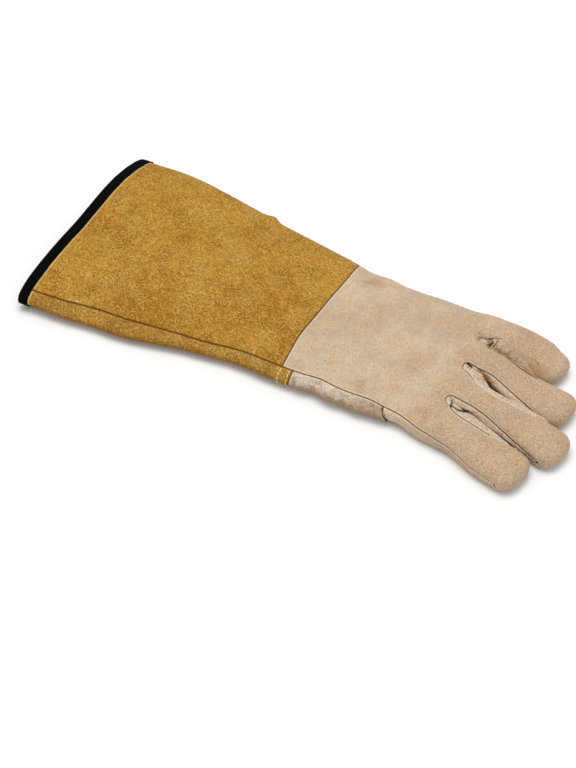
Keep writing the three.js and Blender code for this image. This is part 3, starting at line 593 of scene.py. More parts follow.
def weld(grids):
    """Joins grids of points where they meet, and returns the points and four-cornered faces."""
    flat = np.concatenate([grid.reshape(-1, 3) for grid in grids])
    cells = np.round(flat * WELD_STEPS).astype(int)
    _, first, place = np.unique(cells, axis=0, return_index=True, return_inverse=True)
    place, faces, start = place.ravel(), [], 0
    for grid in grids:
        ids = place[start:start + grid.shape[0] * grid.shape[1]].reshape(grid.shape[:2])
        start += ids.size
        faces.append(stack(ids[:-1, :-1], ids[1:, :-1], ids[1:, 1:], ids[:-1, 1:]).reshape(-1, 4))
    faces = np.concatenate(faces)
    corners = 1 + (np.diff(np.sort(faces, axis=1), axis=1) > 0).sum(1)
    return flat[first], faces[corners >= 3]


def face_normals(points, faces):
    return np.cross(points[faces[:, 2]] - points[faces[:, 0]], points[faces[:, 3]] - points[faces[:, 1]])


def point_normals(points, faces):
    total = np.zeros_like(points)
    for column in range(4):
        np.add.at(total, faces[:, column], face_normals(points, faces))
    return unit(total)


def edges_of(faces):
    pairs = np.concatenate([faces[:, [k, (k + 1) % 4]] for k in range(4)])
    return pairs[pairs[:, 0] != pairs[:, 1]]


def rim_of(faces, count):
    """The directed edges that only one face has."""
    pairs = edges_of(faces)
    codes, back = pairs[:, 0] * count + pairs[:, 1], pairs[:, 1] * count + pairs[:, 0]
    return pairs[~np.isin(codes, back)]


def relax(points, faces, rounds, held):
    """Evens the points out among their neighbours, and leaves the held ones where they are."""
    pairs = edges_of(faces)
    pairs = np.concatenate([pairs, pairs[:, ::-1]])
    number = np.maximum(np.bincount(pairs[:, 0], minlength=len(points)), 1)[:, None]
    for _ in range(rounds):
        total = np.zeros_like(points)
        np.add.at(total, pairs[:, 0], points[pairs[:, 1]])
        points = np.where(held[:, None], points, lerp(points, total / number, 0.5))
    return points


# %% Seams
def seam_reach(points, normals, rim, sewn):
    """For each point, its distance from the nearest sewn edge, how far along that edge it lies, and
    the direction that leads away from the edge inside the piece."""
    chosen = rim[sewn(points[rim].mean(1))]
    if not len(chosen):
        return np.full(len(points), 99.0), np.zeros(len(points)), np.zeros_like(points)
    following = dict(chosen.tolist())
    starts = sorted(set(following) - set(following.values())) + sorted(following)
    along, travelled = {}, 0.0
    for start in starts:
        here = start
        while here not in along:
            along[here] = travelled
            if here not in following:
                break
            travelled += float(np.linalg.norm(points[following[here]] - points[here]))
            here = following[here]
    inward = np.zeros_like(points)
    for end in (0, 1):
        step = np.cross(normals[chosen[:, end]], points[chosen[:, 1]] - points[chosen[:, 0]])
        np.add.at(inward, chosen[:, end], unit(step))
    inward = unit(inward)
    ids = np.array(sorted(along))
    tree = kdtree.KDTree(len(ids))
    for i in ids:
        tree.insert(points[i], int(i))
    tree.balance()
    nearest = np.array([tree.find(p)[1] for p in points])
    before = {b: a for a, b in following.items()}
    reach = np.linalg.norm(points - points[nearest], axis=1)
    for other in (following, before):
        end = np.array([other.get(int(i), int(i)) for i in nearest])
        line = points[end] - points[nearest]
        t = np.clip(((points - points[nearest]) * line).sum(1) / np.maximum((line ** 2).sum(1), 1e-12), 0, 1)
        reach = np.minimum(reach, np.linalg.norm(points - points[nearest] - line * t[:, None], axis=1))
    return reach, np.array([along[int(i)] for i in nearest]), inward[nearest]


# %% Grooves and stains
def squashed(points, deep):
    """Draws points together along the camera's line of sight, to a share of their distance."""
    return points - (1 - deep) * (points @ TOWARDS)[:, None] * TOWARDS


def grooves(points, lines, deep=1.0):
    """How deep each point lies in thin grooves: lines of x, y, z to x, y, z, a width, and the depth
    at the start and, where it differs, at the end. A small deep makes up for what is unsure about a
    line, which is how far away from the camera it lies."""
    points, total = squashed(points, deep), np.zeros(len(points))
    for line in lines:
        start, end = squashed(np.array(line[:6], float).reshape(2, 3), deep)
        step = end - start
        t = np.clip(((points - start) @ step) / (step ** 2).sum(), 0, 1)
        away = np.linalg.norm(points - start - step * t[:, None], axis=1)
        total = np.maximum(total, lerp(line[7], line[-1], t) * np.exp(-(away / line[6]) ** 2))
    return total


# Places where a seam has turned under or is pulled flat: x, y to x, y, how far round it, how much
HIDDEN_SEAMS = [
    (313, 58, 324, 57, 9, 1.0), (324, 57, 352, 50, 9, 1.0), (354, -24, 366, -27, 4, 0.7),
    (321, 12, 330, 8, 4, 0.5), (330, 8, 366, 4, 6, 0.6), (301, 50, 306, 57, 7, 0.7),
]
# Smudges of handling, and painted shade in shallow dents: x, y, radius and strength
SMUDGES_AND_SHADE = [
    (212, 59, 6, 0.7), (208, 54, 4, 0.4), (228, 36, 7, 0.4), (253.2, -31.9, 4, 0.45), (254, -37, 4, 0.3),
    (297, -32, 3.5, 0.4), (303, -31, 3.5, 0.45), (306.3, -36.2, 3, 0.4), (320, -35.8, 4, 0.3),
    (276, 0, 10, 0.3), (300, 33, 6, 0.35), (330, 70, 10, 0.35), (206, 8, 12, 0.25), (292, 62, 6, 0.3),
    (262, 40, 9, 0.25),
]
# Seams hide, and smudges and painted shade gather, only on the upper side, above these heights
HIDING_HEIGHT, UNMARKED_HEIGHT, MARKED_HEIGHT = 8, 6, 12


def hidden_seams(points):
    """How much of the seam beside each point is hidden, from 0 to 1."""
    hidden = np.zeros(len(points))
    for *line, radius, share in HIDDEN_SEAMS:
        away, _ = from_line(points, line)
        hidden = np.maximum(hidden, share * (1 - ramp(0.6 * radius, radius, away)))
    return hidden * (points[:, 2] > HIDING_HEIGHT)


# Smudges, and the painted shade of shallow dents, at each point
def smudges_and_shade(points):
    total = np.zeros(len(points))
    for x, y, radius, strength in SMUDGES_AND_SHADE:
        total += strength * np.exp(-(np.hypot(points[:, 0] - x, points[:, 1] - y) / radius) ** 2)
    return total * ramp(UNMARKED_HEIGHT, MARKED_HEIGHT, points[:, 2])


# %% Tucks
def raise_tuck(path, width, height, pale, foot):
    """A little fold that stands up: a ridge along a path of x, y, z points, thin at both ends. Its
    foot is dark, because no light gets in under it."""
    path, t = np.array(path, float), np.linspace(0, 1, 40)
    stations = t * (len(path) - 1)
    centre = np.stack([curve(np.arange(len(path)), column, stations) for column in path.T], -1)
    side = unit(np.cross([0, 0, 1.0], np.gradient(centre, axis=0)))[:, None]
    taper = (1 - np.abs(2 * t - 1) ** 3)[:, None] ** 0.5
    turn = np.radians(np.linspace(0, 360, 25))
    points = centre[:, None] + side * (width * power(np.cos(turn), 0.8) * taper)[..., None]
    points[..., 2] += height * power(np.sin(turn), 0.8) * taper
    points += side * (0.2 * taper * rough(points, 2.6, 71))[..., None]
    points[..., 2] += 0.3 * taper * rough(points, 3.0, 72)
    dark = np.broadcast_to(foot * (1 - ramp(-0.25, 0.3, np.sin(turn))), points.shape[:2])
    ids = np.arange(points[..., 0].size).reshape(points.shape[:2])[:, :-1]
    ids[0], ids[-1] = ids[0, 0], ids[-1, 0]
    around = np.roll(ids, -1, 1)
    faces = stack(ids[:-1], ids[1:], around[1:], around[:-1]).reshape(-1, 4)
    used, faces = np.unique(faces, return_inverse=True)
    faces = faces.reshape(-1, 4)
    points, dark = points.reshape(-1, 3)[used], dark.reshape(-1)[used]
    volume = (points[faces[:, 0]] * face_normals(points, faces)).sum()
    return points, faces if volume > 0 else faces[:, ::-1], {"pale": pale, "slit": dark}


# %% Pieces of leather
# The line that is left of a hidden seam, the ridge beside an open one, and its puckers, which
# turn by so many radians in a millimetre and fade out over so many
LINE_WIDTH, LINE_DEPTH = 0.6, 0.45
RIDGE_HEIGHT, RIDGE_AWAY, RIDGE_WIDTH = 0.2, 2.2, 1.1
PUCKER_TURN, PUCKER_FADE = 1.15, 4.0


def beside_seam(points, reach, along, hidden, gather):
    """How far the face stands out beside its seam. It rolls in, behind a low ridge, and the seam
    gathers it into puckers. A hidden seam leaves only a shallow line."""
    roll = 1 - np.clip(reach / SEAM_ROLL, 0, 1)
    line = np.clip(1 - reach / LINE_WIDTH, 0, 1)
    rolled = lerp(SEAM_DEPTH * (1 - np.sqrt(1 - roll ** 2)), LINE_DEPTH * line ** 2, hidden)
    ridge = RIDGE_HEIGHT * np.exp(-((reach - RIDGE_AWAY) / RIDGE_WIDTH) ** 2)
    wave = np.sin(PUCKER_TURN * along + 2.2 * rough(points, 9, 3)) * (1 + 0.8 * rough(points, 14, 5))
    pucker = gather * wave * np.exp(-reach / PUCKER_FADE) * ramp(0, 1.2, reach)
    return (1 - hidden) * (ridge + pucker) - rolled


def add_leather(name, points, polygons, layers):
    """Adds the finished piece to the scene, with a value at each point for every layer."""
    mesh = bpy.data.meshes.new(name + "_leather")
    corners = [list(dict.fromkeys(polygon)) for polygon in polygons.tolist()]
    mesh.from_pydata(metres(points).tolist(), [], corners)
    for label, values in layers.items():
        mesh.attributes.new(label, "FLOAT", "POINT").data.foreach_set("value", values.astype(np.float32))
    mesh.shade_smooth()
    piece = add_object(name + "_leather", mesh)
    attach(piece, "root")
    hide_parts(name)
    print(f"{name}: {sum(len(polygon) - 2 for polygon in corners)} triangles")


def make_leather(name, slot, grids, wall, waves, turned=False, gather=0.16, rounds=6, unsure=0.12,
                 slits=(), dark_places=(), tucks=(), sewn=lambda points: np.ones(len(points), bool),
                 tone=lambda points: np.zeros(len(points))):
    """Builds one piece. name is the node that it stands for, waves gives the height of its folds,
    tone says how pale its face is, turned that its grids run the other way round, gather how high
    its seams pucker, and rounds how often its points are evened out among their neighbours."""
    points, faces = weld(grids)
    if turned:
        faces = faces[:, ::-1]
    pale = tone(points)
    points = settle(points, name in ("gauntlet_back", "hand_back"))
    rim, count = rim_of(faces, len(points)), len(points)
    points = relax(points, faces, rounds, np.isin(np.arange(count), rim))
    normals = point_normals(points, faces)
    reach, along, inward = seam_reach(points, normals, rim, sewn)
    hidden = hidden_seams(points)
    # Each edge reaches a little past the seam's line, and meets its neighbour there. Soft leather
    # also sinks a little where its seam is hidden.
    trim = SEAM_TRIM * (1 - np.clip(reach / SEAM_ROLL, 0, 1))
    sunk = 0.1 * hidden * (slot == "grain_leather_pale")
    points = points + inward * trim[:, None] - normals * sunk[:, None]
    swell = waves(points) * ramp(0.2, 4, reach)
    slit = grooves(points + normals * swell[:, None], slits, unsure) * ramp(0.1, 0.7, reach)
    height = swell - slit + beside_seam(points, reach, along, hidden, gather)
    points = points + normals * height[:, None]
    points[:, 2] = np.maximum(points[:, 2], 0)
    inner = points - point_normals(points, faces) * wall
    inner[:, 2] = np.maximum(inner[:, 2], LOWEST_INSIDE)
    sides = np.stack([rim[:, 1], rim[:, 0], rim[:, 0] + count, rim[:, 1] + count], -1)
    polygons, shells = np.concatenate([faces, faces[:, ::-1] + count, sides]), [points, inner]
    # A hidden seam counts as far away, so that its shade is not laid there
    layers = {"seam": reach + 0.5 * hidden / (1.01 - hidden), "pale": pale, "slit": np.clip(slit * 1.2, 0, 1),
              # smudges, and painted shade where dark places are given
              "smudge_and_shade": smudges_and_shade(points) + grooves(points, dark_places, 0.4)}
    layers = {label: np.tile(values, 2) for label, values in layers.items()}
    for tuck in tucks:
        extra, extra_faces, own = raise_tuck(*tuck)
        polygons = np.concatenate([polygons, extra_faces + sum(map(len, shells))])
        shells.append(extra)
        own = {"seam": FAR_FROM_SEAM, "smudge_and_shade": 0.0, **own}
        for label in layers:
            layers[label] = np.concatenate([layers[label], np.broadcast_to(own[label], len(extra))])
    add_leather(name, np.concatenate(shells), polygons, layers)


# %% [markdown]
# ## The cuff
# The cuff is two pieces of suede. The back one ends at a seam a little inside the edge that is
# nearest the thumb, so the palm's piece goes round that edge and shows from above as a strip.
# Suede is thick and stiff, so it lies in long low waves with no sharp creases. Each wave is a
# gentle noise, large and low or small and lower still, added along the surface's own direction.

# %% Cuff
OPENING_X, CUFF_FLARE = -2.6, 5.0
SHEET_THICK = 1.4
TAB = {"length": 38.0, "beside": 0.6, "end": 14, "near": (-16, -5), "far": (57, 68)}
TAPE_WALL, TAPE_CLEAR, TAPE_WIDTH, TAPE_SHARE = 0.8, 0.4, 7.0, 7.2 / 195


def opening_x(y):
    return OPENING_X - CUFF_FLARE * ramp(-20, 60, y)


def on_cuff(share, place):
    share, place = np.broadcast_arrays(share, place)
    x = lerp(opening_x(on_body(lerp(OPENING_X, CUFF_LENGTH, share), place)[..., 1]), CUFF_LENGTH, share)
    p = on_body(x, place)
    under = 1 - np.clip(p[..., 2] / body_columns(x)[2], 0, 1)
    foot = (TAPE_WALL + TAPE_CLEAR) * (1 - ramp(8, 30, x))
    tab_start = CUFF_LENGTH - TAB["length"]
    over_tab = (SHEET_THICK + LAYER_GAP) * ramp(tab_start - TAB["end"], tab_start - 2, x) * (
        ramp(*TAB["near"], p[..., 1]) * (1 - ramp(*TAB["far"], p[..., 1])))
    return with_z(p, p[..., 2] + under * np.maximum(foot, over_tab))


def cuff_grid(start, end, rows, columns):
    share = crowded(np.linspace(0, 1, rows + 1), [0, TAPE_SHARE, 1], CUFF_LENGTH)[:, None]
    x = lerp(0, CUFF_LENGTH, share)
    return on_cuff(share, body_places(x, start(x), end(x), eased(columns, 0.4)))


def suede_waves(p):
    calm = 0.25 + 0.75 * ramp(3, 9, p[:, 2])
    return calm * (0.32 * rough(p, 16, 2) + 0.2 * rough(p, 7.5, 3) + 0.09 * rough(p, 3, 4))


def past_opening(points):
    return points[:, 0] > 4


def beside_tape(p):
    """A pale line on the suede's face, beside the binding."""
    return 1 - ramp(0.7, 1.3, np.abs(p[:, 0] - opening_x(p[:, 1]) - TAPE_WIDTH))


def lit_near_strip(p):
    """The pale line beside the binding, and painted light on the upper side of the strip that goes
    round the near edge, which makes that side a little lighter.
    """
    return beside_tape(p) + 0.05 * ramp(8, 11, p[:, 2]) * (1 - ramp(-45, -40, p[:, 1]))


make_leather("gauntlet_back", "suede", [cuff_grid(seam_place, np.ones_like, 140, 112)], CUFF_WALL,
             suede_waves, sewn=past_opening, gather=0.14, tone=beside_tape)
make_leather("gauntlet_palm", "suede", [cuff_grid(np.ones_like, lambda x: seam_place(x) + 5, 140, 130)],
             CUFF_WALL, suede_waves, sewn=past_opening, gather=0.14, tone=lit_near_strip)

# %% [markdown]
# ## The hand
# One piece of grain leather makes the back of the hand and of all four fingers, and turns over the
# fingertips. The palm carries the fronts of the outer fingers and a tongue that lies on the cuff.
# The fronts of the middle and ring fingers are separate, because a palm cut in one piece would
# have no room for the side strips. Here each finger's lane is a grid that runs from the wrist to
# the fingertip, and neighbouring lanes share their edge as far as the finger crotch.

# %% Hand
EVEN_ROWS, HEEL_ROWS = np.linspace(0, 1, 105), np.linspace(HEEL_SHARE, WING_SHARE, 20)
HAND_ROWS = crowded(np.unique(np.concatenate([EVEN_ROWS, HEEL_ROWS])),
                    [0, FRONT_BASE, WING_SHARE, HEEL_SHARE], 118)
FINGER_ROWS, LANE_STEPS = np.linspace(0, 1, 58), eased(34)


def lane_grid(side, lane, shares, tip_steps):
    grid = lane_point(side, lane, shares[:, None], LANE_STEPS)
    if shares[-1] < 1:
        return grid
    turns = np.linspace(0, 90, 13)[1:]
    crotch = np.stack([crotch_row(side, lane, LANE_STEPS, np.full(LANE_STEPS.shape, turn)) for turn in turns])
    s = FINGER_ROWS[1:, None]
    finger = on_finger(lane, s, finger_angles(side, finger_frame(lane, s), LANE_STEPS))
    turn = np.linspace(0 if side == "back" else 180, TIP_SEAM, tip_steps + 1)[1:, None]
    tip = on_tip(lane, turn, lerp(-TIP_SIDE, TIP_SIDE, LANE_STEPS))
    return np.concatenate([grid, crotch, finger, tip])


def grain_waves(p):
    calm = 0.25 + 0.75 * ramp(3, 8, p[:, 2])
    small = 0.26 * rough(p, 17, 12) + 0.15 * rough(p, 8, 13) + 0.07 * rough(p, 3.5, 14)
    return calm * small + folds_height(p, CREASES) * ramp(6, 12, p[:, 2])


def above_thumb(p):
    """The palm and the thumb lie on each other, so their waves stay flat where they touch."""
    return grain_waves(p) * (0.15 + 0.85 * ramp(2, 12, outside_thumb(p)))


# thin creases: from x, y to x, y, width, height
CREASES = [
    (264, 5, 274, 1, 0.9, -0.3), (270, 1, 283, -5, 0.9, -0.3), (318, -25.4, 338, -30.4, 0.8, -0.5),
    (336, -30, 350, -33.6, 0.8, -0.4), (322, -24.2, 338, -27.6, 0.8, -0.4), (320, -27.4, 346, -34, 1.0, 0.25),
    (300, -34, 312, -26, 1.6, -0.35), (246, -36, 256, -30, 1.6, -0.4),
    (218, 68, 226, 58, 1.5, -0.5), (318, -30, 326, -18, 2.6, -0.4), (344, -40, 350, -28, 2.6, -0.4),
    (338, 0, 344, 12, 2.6, -0.4), (334, 28, 338, 42, 2.6, -0.4), (320, 64, 326, 76, 2.8, -0.5),
    (360, -6, 364, 8, 2.4, -0.3), (346, 60, 350, 72, 2.4, -0.3),
]

# Grooves painted dark as shade: the line where the ring finger goes under the little one, and
# creases on the little finger: x, y, z to x, y, z, width, depth, and the depth at its end
BACK_SLITS = [
    (310.5, 47.6, 15.6, 313.5, 47.3, 15.6, 0.6, 1.1, 0.6), (313.5, 47.3, 15.6, 324.8, 46.1, 15.1, 0.5, 0.5),
    (319.4, 46.7, 15.4, 320.4, 46.5, 15.4, 0.6, 0.9), (324.8, 46.1, 15.1, 338.7, 42.1, 14.7, 0.5, 0.5, 0.8),
    (338.7, 42.1, 14.7, 352.6, 40.6, 13.2, 0.5, 0.9, 1.3),
    (307.5, 56.8, 15, 315.7, 58.7, 15.9, 0.5, 0.8, 0.4),
    (343.5, 55.4, 14.8, 345.8, 53.2, 14.5, 0.5, 0.55, 0.7),
    (345.8, 53.2, 14.5, 349.5, 51.2, 13.6, 0.5, 0.7, 0.2),
]
# Dark places on the little finger's near side, where it is handled, and painted shade along its
# lower edge towards the tip: x, y, z to x, y, z, width, strength, and the strength at its end
LITTLE_DARK = [
    (324, 55.5, 14.5, 338, 53.0, 13.8, 2.6, 0.3, 0.5), (338, 53.0, 13.8, 354, 49.0, 12.2, 3.6, 0.55, 0.7),
    (343, 50.0, 13.0, 354, 46.6, 10.8, 2.8, 1.0, 0.7), (345, 54.5, 14.5, 350, 51, 13.6, 1.0, 0.7, 0.8),
]

make_leather("hand_back", "grain_leather", [lane_grid("back", lane, HAND_ROWS, 16) for lane in range(4)],
             HAND_WALL, grain_waves, slits=BACK_SLITS, unsure=0.3, dark_places=LITTLE_DARK)

# %% [markdown]
# ## The palm and the fronts of the fingers
# Most of the palm is out of sight here, yet it is what the glove lies on. It goes over the folded
# thumb, and its tongue reaches under the cuff, where a row of stitches would hold it down.

# %% Palm
def palm_tongue(first_row):
    middle, half = first_row[[0, -1], 1].mean(), np.ptp(first_row[[0, -1], 1]) / 2
    length = TAB["length"] * (1 - np.minimum(np.abs((first_row[:, 1] - middle) / half), 1) ** 5) ** 0.2
    x = CUFF_LENGTH - length * np.linspace(1, 0, 30)[:, None]
    return stack(x, first_row[:, 1], first_row[:, 2])


def make_palm():
    shares = [HAND_ROWS if lane in (0, 3) else HAND_ROWS[HAND_ROWS <= FRONT_BASE] for lane in range(4)]
    lanes = [lane_grid("palm", lane, shares[lane], 5) for lane in range(4)]
    beside = int(np.argmin(np.abs(LANE_STEPS - TAB["beside"])))
    wrist = np.concatenate([lanes[0][0][beside:-1], lanes[1][0][:-1], lanes[2][0]])
    make_leather("palm", "grain_leather", [*lanes, palm_tongue(wrist)], HAND_WALL, above_thumb,
                 turned=True, sewn=lambda p: p[:, 0] > CUFF_LENGTH - 0.02,
                 # painted light: the palm's near wall, where it shows along the hand's near side, is made
                 # paler higher up
                 tone=lambda p: 0.3 * ramp(4, 9, p[:, 2]) * (1 - ramp(-40, -36, p[:, 1])))


make_palm()
for lane, name in ((1, "middle_finger_front"), (2, "ring_finger_front")):
    make_leather(name, "grain_leather", [lane_grid("palm", lane, HAND_ROWS[HAND_ROWS >= FRONT_BASE], 5)],
                 HAND_WALL, grain_waves, turned=True)

# %% [markdown]
# ## The side strips of the fingers
# A fourchette is one long strip that runs down one finger, round the crotch and up the next one.
# It is the softest leather of the glove, and it is gathered into both seams, so it puckers, and
# small tucks of it stand up in the crotches.

# %% Side strips
# The marks of each strip, in the order in which the crotches come. slits, folds, dark and pale are
# lines from x, y, z to x, y, z with a width and a strength, and the strength at the end where it
# differs. slits are grooves painted dark as shade; dark is painted shade in the crotches and along
# the creases, with the little finger's darker places; pale is the paler leather of the folds, with
# painted light on the folds that stand up and a painted highlight along a crease's rim. A tuck has
# a path, half its width, its height, how pale it is and how dark its foot is.
# halves says how pale the strip is on its first and on its second finger, partly its paler leather
# and partly painted light.
STRIPS = [
    {"name": "fourchette_index_middle", "puckers": 0.8, "crinkles": 0.0, "halves": (0.85, 0.4), "tucks": [],
     "slits": [
         (311.7, -9.1, 16.4, 313.6, -10.3, 16.5, 0.42, 0.6, 1.1),
         (313.6, -10.3, 16.5, 314.9, -14.7, 15.3, 0.42, 0.9, 1.2),
         (314.7, -14.3, 15.3, 315.2, -15.0, 15.5, 0.65, 1.2),
         (314.9, -14.7, 15.3, 321.2, -16.4, 16.5, 0.5, 0.9, 1.0),
         (321.2, -16.4, 16.5, 326.8, -12.6, 13.9, 0.6, 1.1, 1.0),
         (326.8, -12.1, 13.9, 334.2, -14.4, 15.1, 0.5, 0.7, 0.5),
         (334.2, -14.4, 15.1, 344.4, -17.8, 15.8, 0.5, 0.5, 0.55),
         (344.4, -17.8, 15.8, 352, -19.4, 15, 0.5, 0.55, 0.8),
         (352, -19.4, 15, 362.7, -21.6, 13.5, 0.6, 0.8, 1.4),
         (362.7, -21.6, 13.5, 368, -22, 10.5, 0.65, 1.4)],
     "folds": [
         (311.4, -10.8, 14.6, 312.8, -14.6, 14.6, 2.3, 2.8),
         (316.5, -11.2, 14, 328, -10.4, 13.6, 3.0, 2.8, 2.2),
         (316, -18.5, 15, 340, -20, 15, 3.0, 0.9), (340, -20, 15, 358, -22.6, 14.5, 3.0, 1.1),
         (328, -11.6, 12.5, 374, -21.8, 11, 3.6, 1.8, 2.2)],
     "dark": [],
     "pale": [
         (311.0, -10.6, 15.4, 312.6, -14.4, 15.4, 2.8, 1.6), (316.5, -11.2, 14, 328, -10.4, 13.6, 2.6, 0.7),
         (344.4, -19.0, 15.8, 369, -23.2, 11, 0.7, 1.2)]},
    {"name": "fourchette_middle_ring", "puckers": 0.8, "crinkles": 0.0, "halves": (1.0, 0.45), "tucks": [],
     "slits": [
         (306.5, 25.3, 16.1, 310.3, 24.0, 15.8, 0.65, 1.4),
         (312.7, 27.2, 14.3, 316.2, 25.9, 14.2, 0.7, 1.2, 0.6),
         (316.2, 25.2, 14.6, 328, 16.6, 15, 0.6, 0.35, 0.5),
         (315.5, 26.2, 13.6, 324, 22.2, 13.4, 1.8, 0.25, 0.3),
         (324, 22.2, 13.4, 332, 17.8, 13.4, 3.0, 0.3, 0.18)],
     "folds": [
         (308, 21.6, 14.2, 319, 17.8, 14.2, 4.2, 3.6, 5.4), (319, 17.8, 14.2, 329, 13, 14.6, 3.8, 5.4, 0.6),
         (319, 24.5, 12.5, 331, 21, 12.5, 3.8, 0.4, 3.3), (331, 21, 12.5, 374, 11.2, 11, 3.8, 3.3, 1.8)],
     "dark": [
         (315.5, 25.6, 13.5, 322, 22.5, 12.5, 2.8, 1.8, 2.0),
         (322, 22.5, 12.5, 330, 18, 12.5, 3.4, 2.0, 0.5)],
     "pale": [(307, 25.4, 15, 312, 26, 14.5, 2.6, 0.8)]},
    {"name": "fourchette_ring_little", "puckers": 1.5, "crinkles": 0.3, "halves": (0.6, 0.5),
     "tucks": [([(301.6, 50.0, 13.2), (304.6, 50.6, 14.4), (308.6, 49.8, 14.0)], 2.6, 1.5, 0.7, 0.4)],
     "slits": [
         (307.1, 55.6, 14, 310.7, 54.9, 13.5, 0.5, 0.6),
         (310.7, 54.9, 13.5, 309.9, 51.4, 11.7, 0.5, 0.8, 1.1),
         (307.1, 54.7, 14.6, 311.2, 57.6, 15.2, 0.45, 0.9, 0.7),
         (313.8, 56.4, 14.9, 312.1, 52.7, 11.1, 0.5, 0.5, 0.4),
         (338.5, 55, 15.5, 344, 50.5, 15, 0.5, 0.32), (344, 50.5, 15, 351, 47.5, 14, 0.6, 0.36, 0.2),
         (347, 54.5, 15, 353, 50, 14.2, 0.5, 0.28), (330, 52.6, 15, 333.5, 49.5, 14.6, 0.5, 0.28),
         (324, 55.4, 15.4, 326, 52.6, 15, 0.5, 0.28)],
     "folds": [
         (311.1, 55.0, 14.1, 310.8, 52, 9, 1.2, 1.2), (313, 50, 9, 352, 45, 9, 3.5, 1.2),
         (316, 49, 10, 318.5, 57, 15, 1.6, 1.6), (322, 48, 10, 326, 56, 15, 1.8, 1.7),
         (329, 46.5, 9, 333, 54.5, 15, 1.8, 1.9), (336, 46, 9, 341, 54, 14, 1.6, 1.7),
         (344, 45, 9, 349, 52.5, 13, 1.8, 1.7)],
     "dark": [
         (336, 49.5, 12, 350, 46.5, 11, 2.5, 0.3), (332, 50.5, 12.5, 334, 54, 14, 1.5, 0.3), *LITTLE_DARK],
     "pale": [
         (310.9, 55.4, 14.1, 310.4, 52, 9, 1.0, 0.8), (312.5, 53.4, 13, 326, 52.6, 13.6, 1.8, 1.0, 0.8)]},
]


def strip_waves(strip, p):
    across = 0.4 * rough(p * np.array([1, 0.5, 0.4]), 4.5, 21)
    puckers = across + 0.35 * rough(p, 11, 22) + 0.12 * rough(p, 2.6, 23)
    return strip["puckers"] * puckers + strip["crinkles"] * rough(p, 2.2, 24) + grooves(p, strip["folds"])


def strip_tone(i, strip, p):
    """How pale the strip is, partly its paler leather and partly painted light: most on the half
    that belongs to finger i, less on the next one's.
    """
    s = np.linspace(0, 1, 20)
    this, following = finger_frame(i, s), finger_frame(i + 1, s)
    between = (this["centre"] + this["half"] + following["centre"] - following["half"]) / 2
    beyond = ramp(-1.5, 1.5, p[:, 1] - np.interp(p[:, 0], between[:, 0], between[:, 1]))
    return np.maximum(grooves(p, strip["pale"], 0.3), lerp(*strip["halves"], beyond))


def strip_grid(i):
    depth, s = eased(52, 0.4), np.linspace(0, 1, 140)[:-1][:, None]
    a, b = finger_frame(i, s), finger_frame(i + 1, s)
    first = on_finger(i, s, lerp(a["bf"], a["cf"], depth))[::-1]
    second = on_finger(i + 1, s, -lerp(b["bn"], b["cn"], depth))
    turns = np.linspace(-90, 90, 37)[1:-1, None]
    return np.concatenate([first, on_crotch(i, turns, depth), second])


for i, strip in enumerate(STRIPS):
    make_leather(strip["name"], "grain_leather_pale", [strip_grid(i)], HAND_WALL, partial(strip_waves, strip),
                 turned=True, gather=0.12, rounds=2, tone=partial(strip_tone, i, strip),
                 slits=strip["slits"], tucks=strip["tucks"], dark_places=strip["dark"])

# %% [markdown]
# ## The thumb
# The thumb's outer piece starts as a wing: a strip that climbs the hand's near side to the back's
# seam, which is all of it that shows from above. Below, it turns in under the palm. The inner
# piece lies on it, against the palm.

# %% Thumb
STEPS_BY_PLACE = np.degrees(np.arcsin(np.linspace(-1, 1, 66)))
ACROSS_THUMB = np.unique(np.round(np.concatenate([
    np.sign(STEPS_BY_PLACE) * np.degrees(np.arcsin(np.abs(np.linspace(-1, 1, 66)) ** (THUMB_ARCH / 2))),
    np.linspace(-90, 90, 25)]), 3))
# folds on the wing: from x, y to x, y, width, height
WING_FOLDS = [
    (202, -46, 208, -44, 2.0, 0.9), (212, -50, 216, -44, 2.2, 1.3), (222, -48, 226, -42, 2.8, -1.5),
    (232, -48, 238, -42, 2.8, 1.4), (245, -48, 249, -42, 2.4, -1.1), (255, -46, 259, -40, 2.6, 1.3),
    (266, -45, 269, -40, 2.0, -0.9), (274, -44, 277, -38, 2.2, 0.9),
]
# dark places on it, the first painted shade along its lower edge: x, y, z to x, y, z, width,
# strength, and the strength at the end
WING_DARK = [(205, -50, 5, 262, -47, 5, 4.5, 0.5), (260, -44, 12, 274, -42, 11, 7.0, 0.3, 0.6)]


def thumb_tip(turns):
    return on_thumb_tip(turns[1:, None], ACROSS_THUMB * TIP_SIDE / 90)


def wing_waves(p):
    """Full folds on the wing, which is free, and almost none on the layers that lie pressed."""
    free = ramp(3, 8, p[:, 2])
    across = 0.55 * rough(p * np.array([1.3, 0.6, 0.5]), 5.5, 31)
    wrinkles = across + 0.4 * rough(p, 12, 32) + 0.5 * rough(p, 2.7, 33)
    return wrinkles * (0.12 + 0.88 * free) + folds_height(p, WING_FOLDS) * free


def thumb_outer():
    place = (power(np.sin(np.radians(ACROSS_THUMB)), 2 / THUMB_ARCH) + 1) / 2
    down = np.linspace(0, 1, 24)[:-1, None]
    x = lerp(wing_end(down), CUFF_LENGTH, place)
    wall = around_body(x, seam_place(x) + 5, np.full(x.shape, 3.0), np.broadcast_to(down, x.shape))
    stations = np.linspace(0, 5, 76)[:, None]
    layer = on_thumb(stations, ACROSS_THUMB, False)
    return np.concatenate([wall, layer, thumb_tip(np.linspace(180, THUMB_SEAM, 8))])


def thumb_inner():
    place = power(np.sin(np.radians(ACROSS_THUMB)), 2 / THUMB_ARCH)
    station = lerp(CROTCH_FAR * (1 + place) / 2, 5, np.linspace(0, 1, 60)[:, None])
    layer = on_thumb(station, ACROSS_THUMB, True)
    return np.concatenate([layer, thumb_tip(np.linspace(0, THUMB_SEAM, 12))])


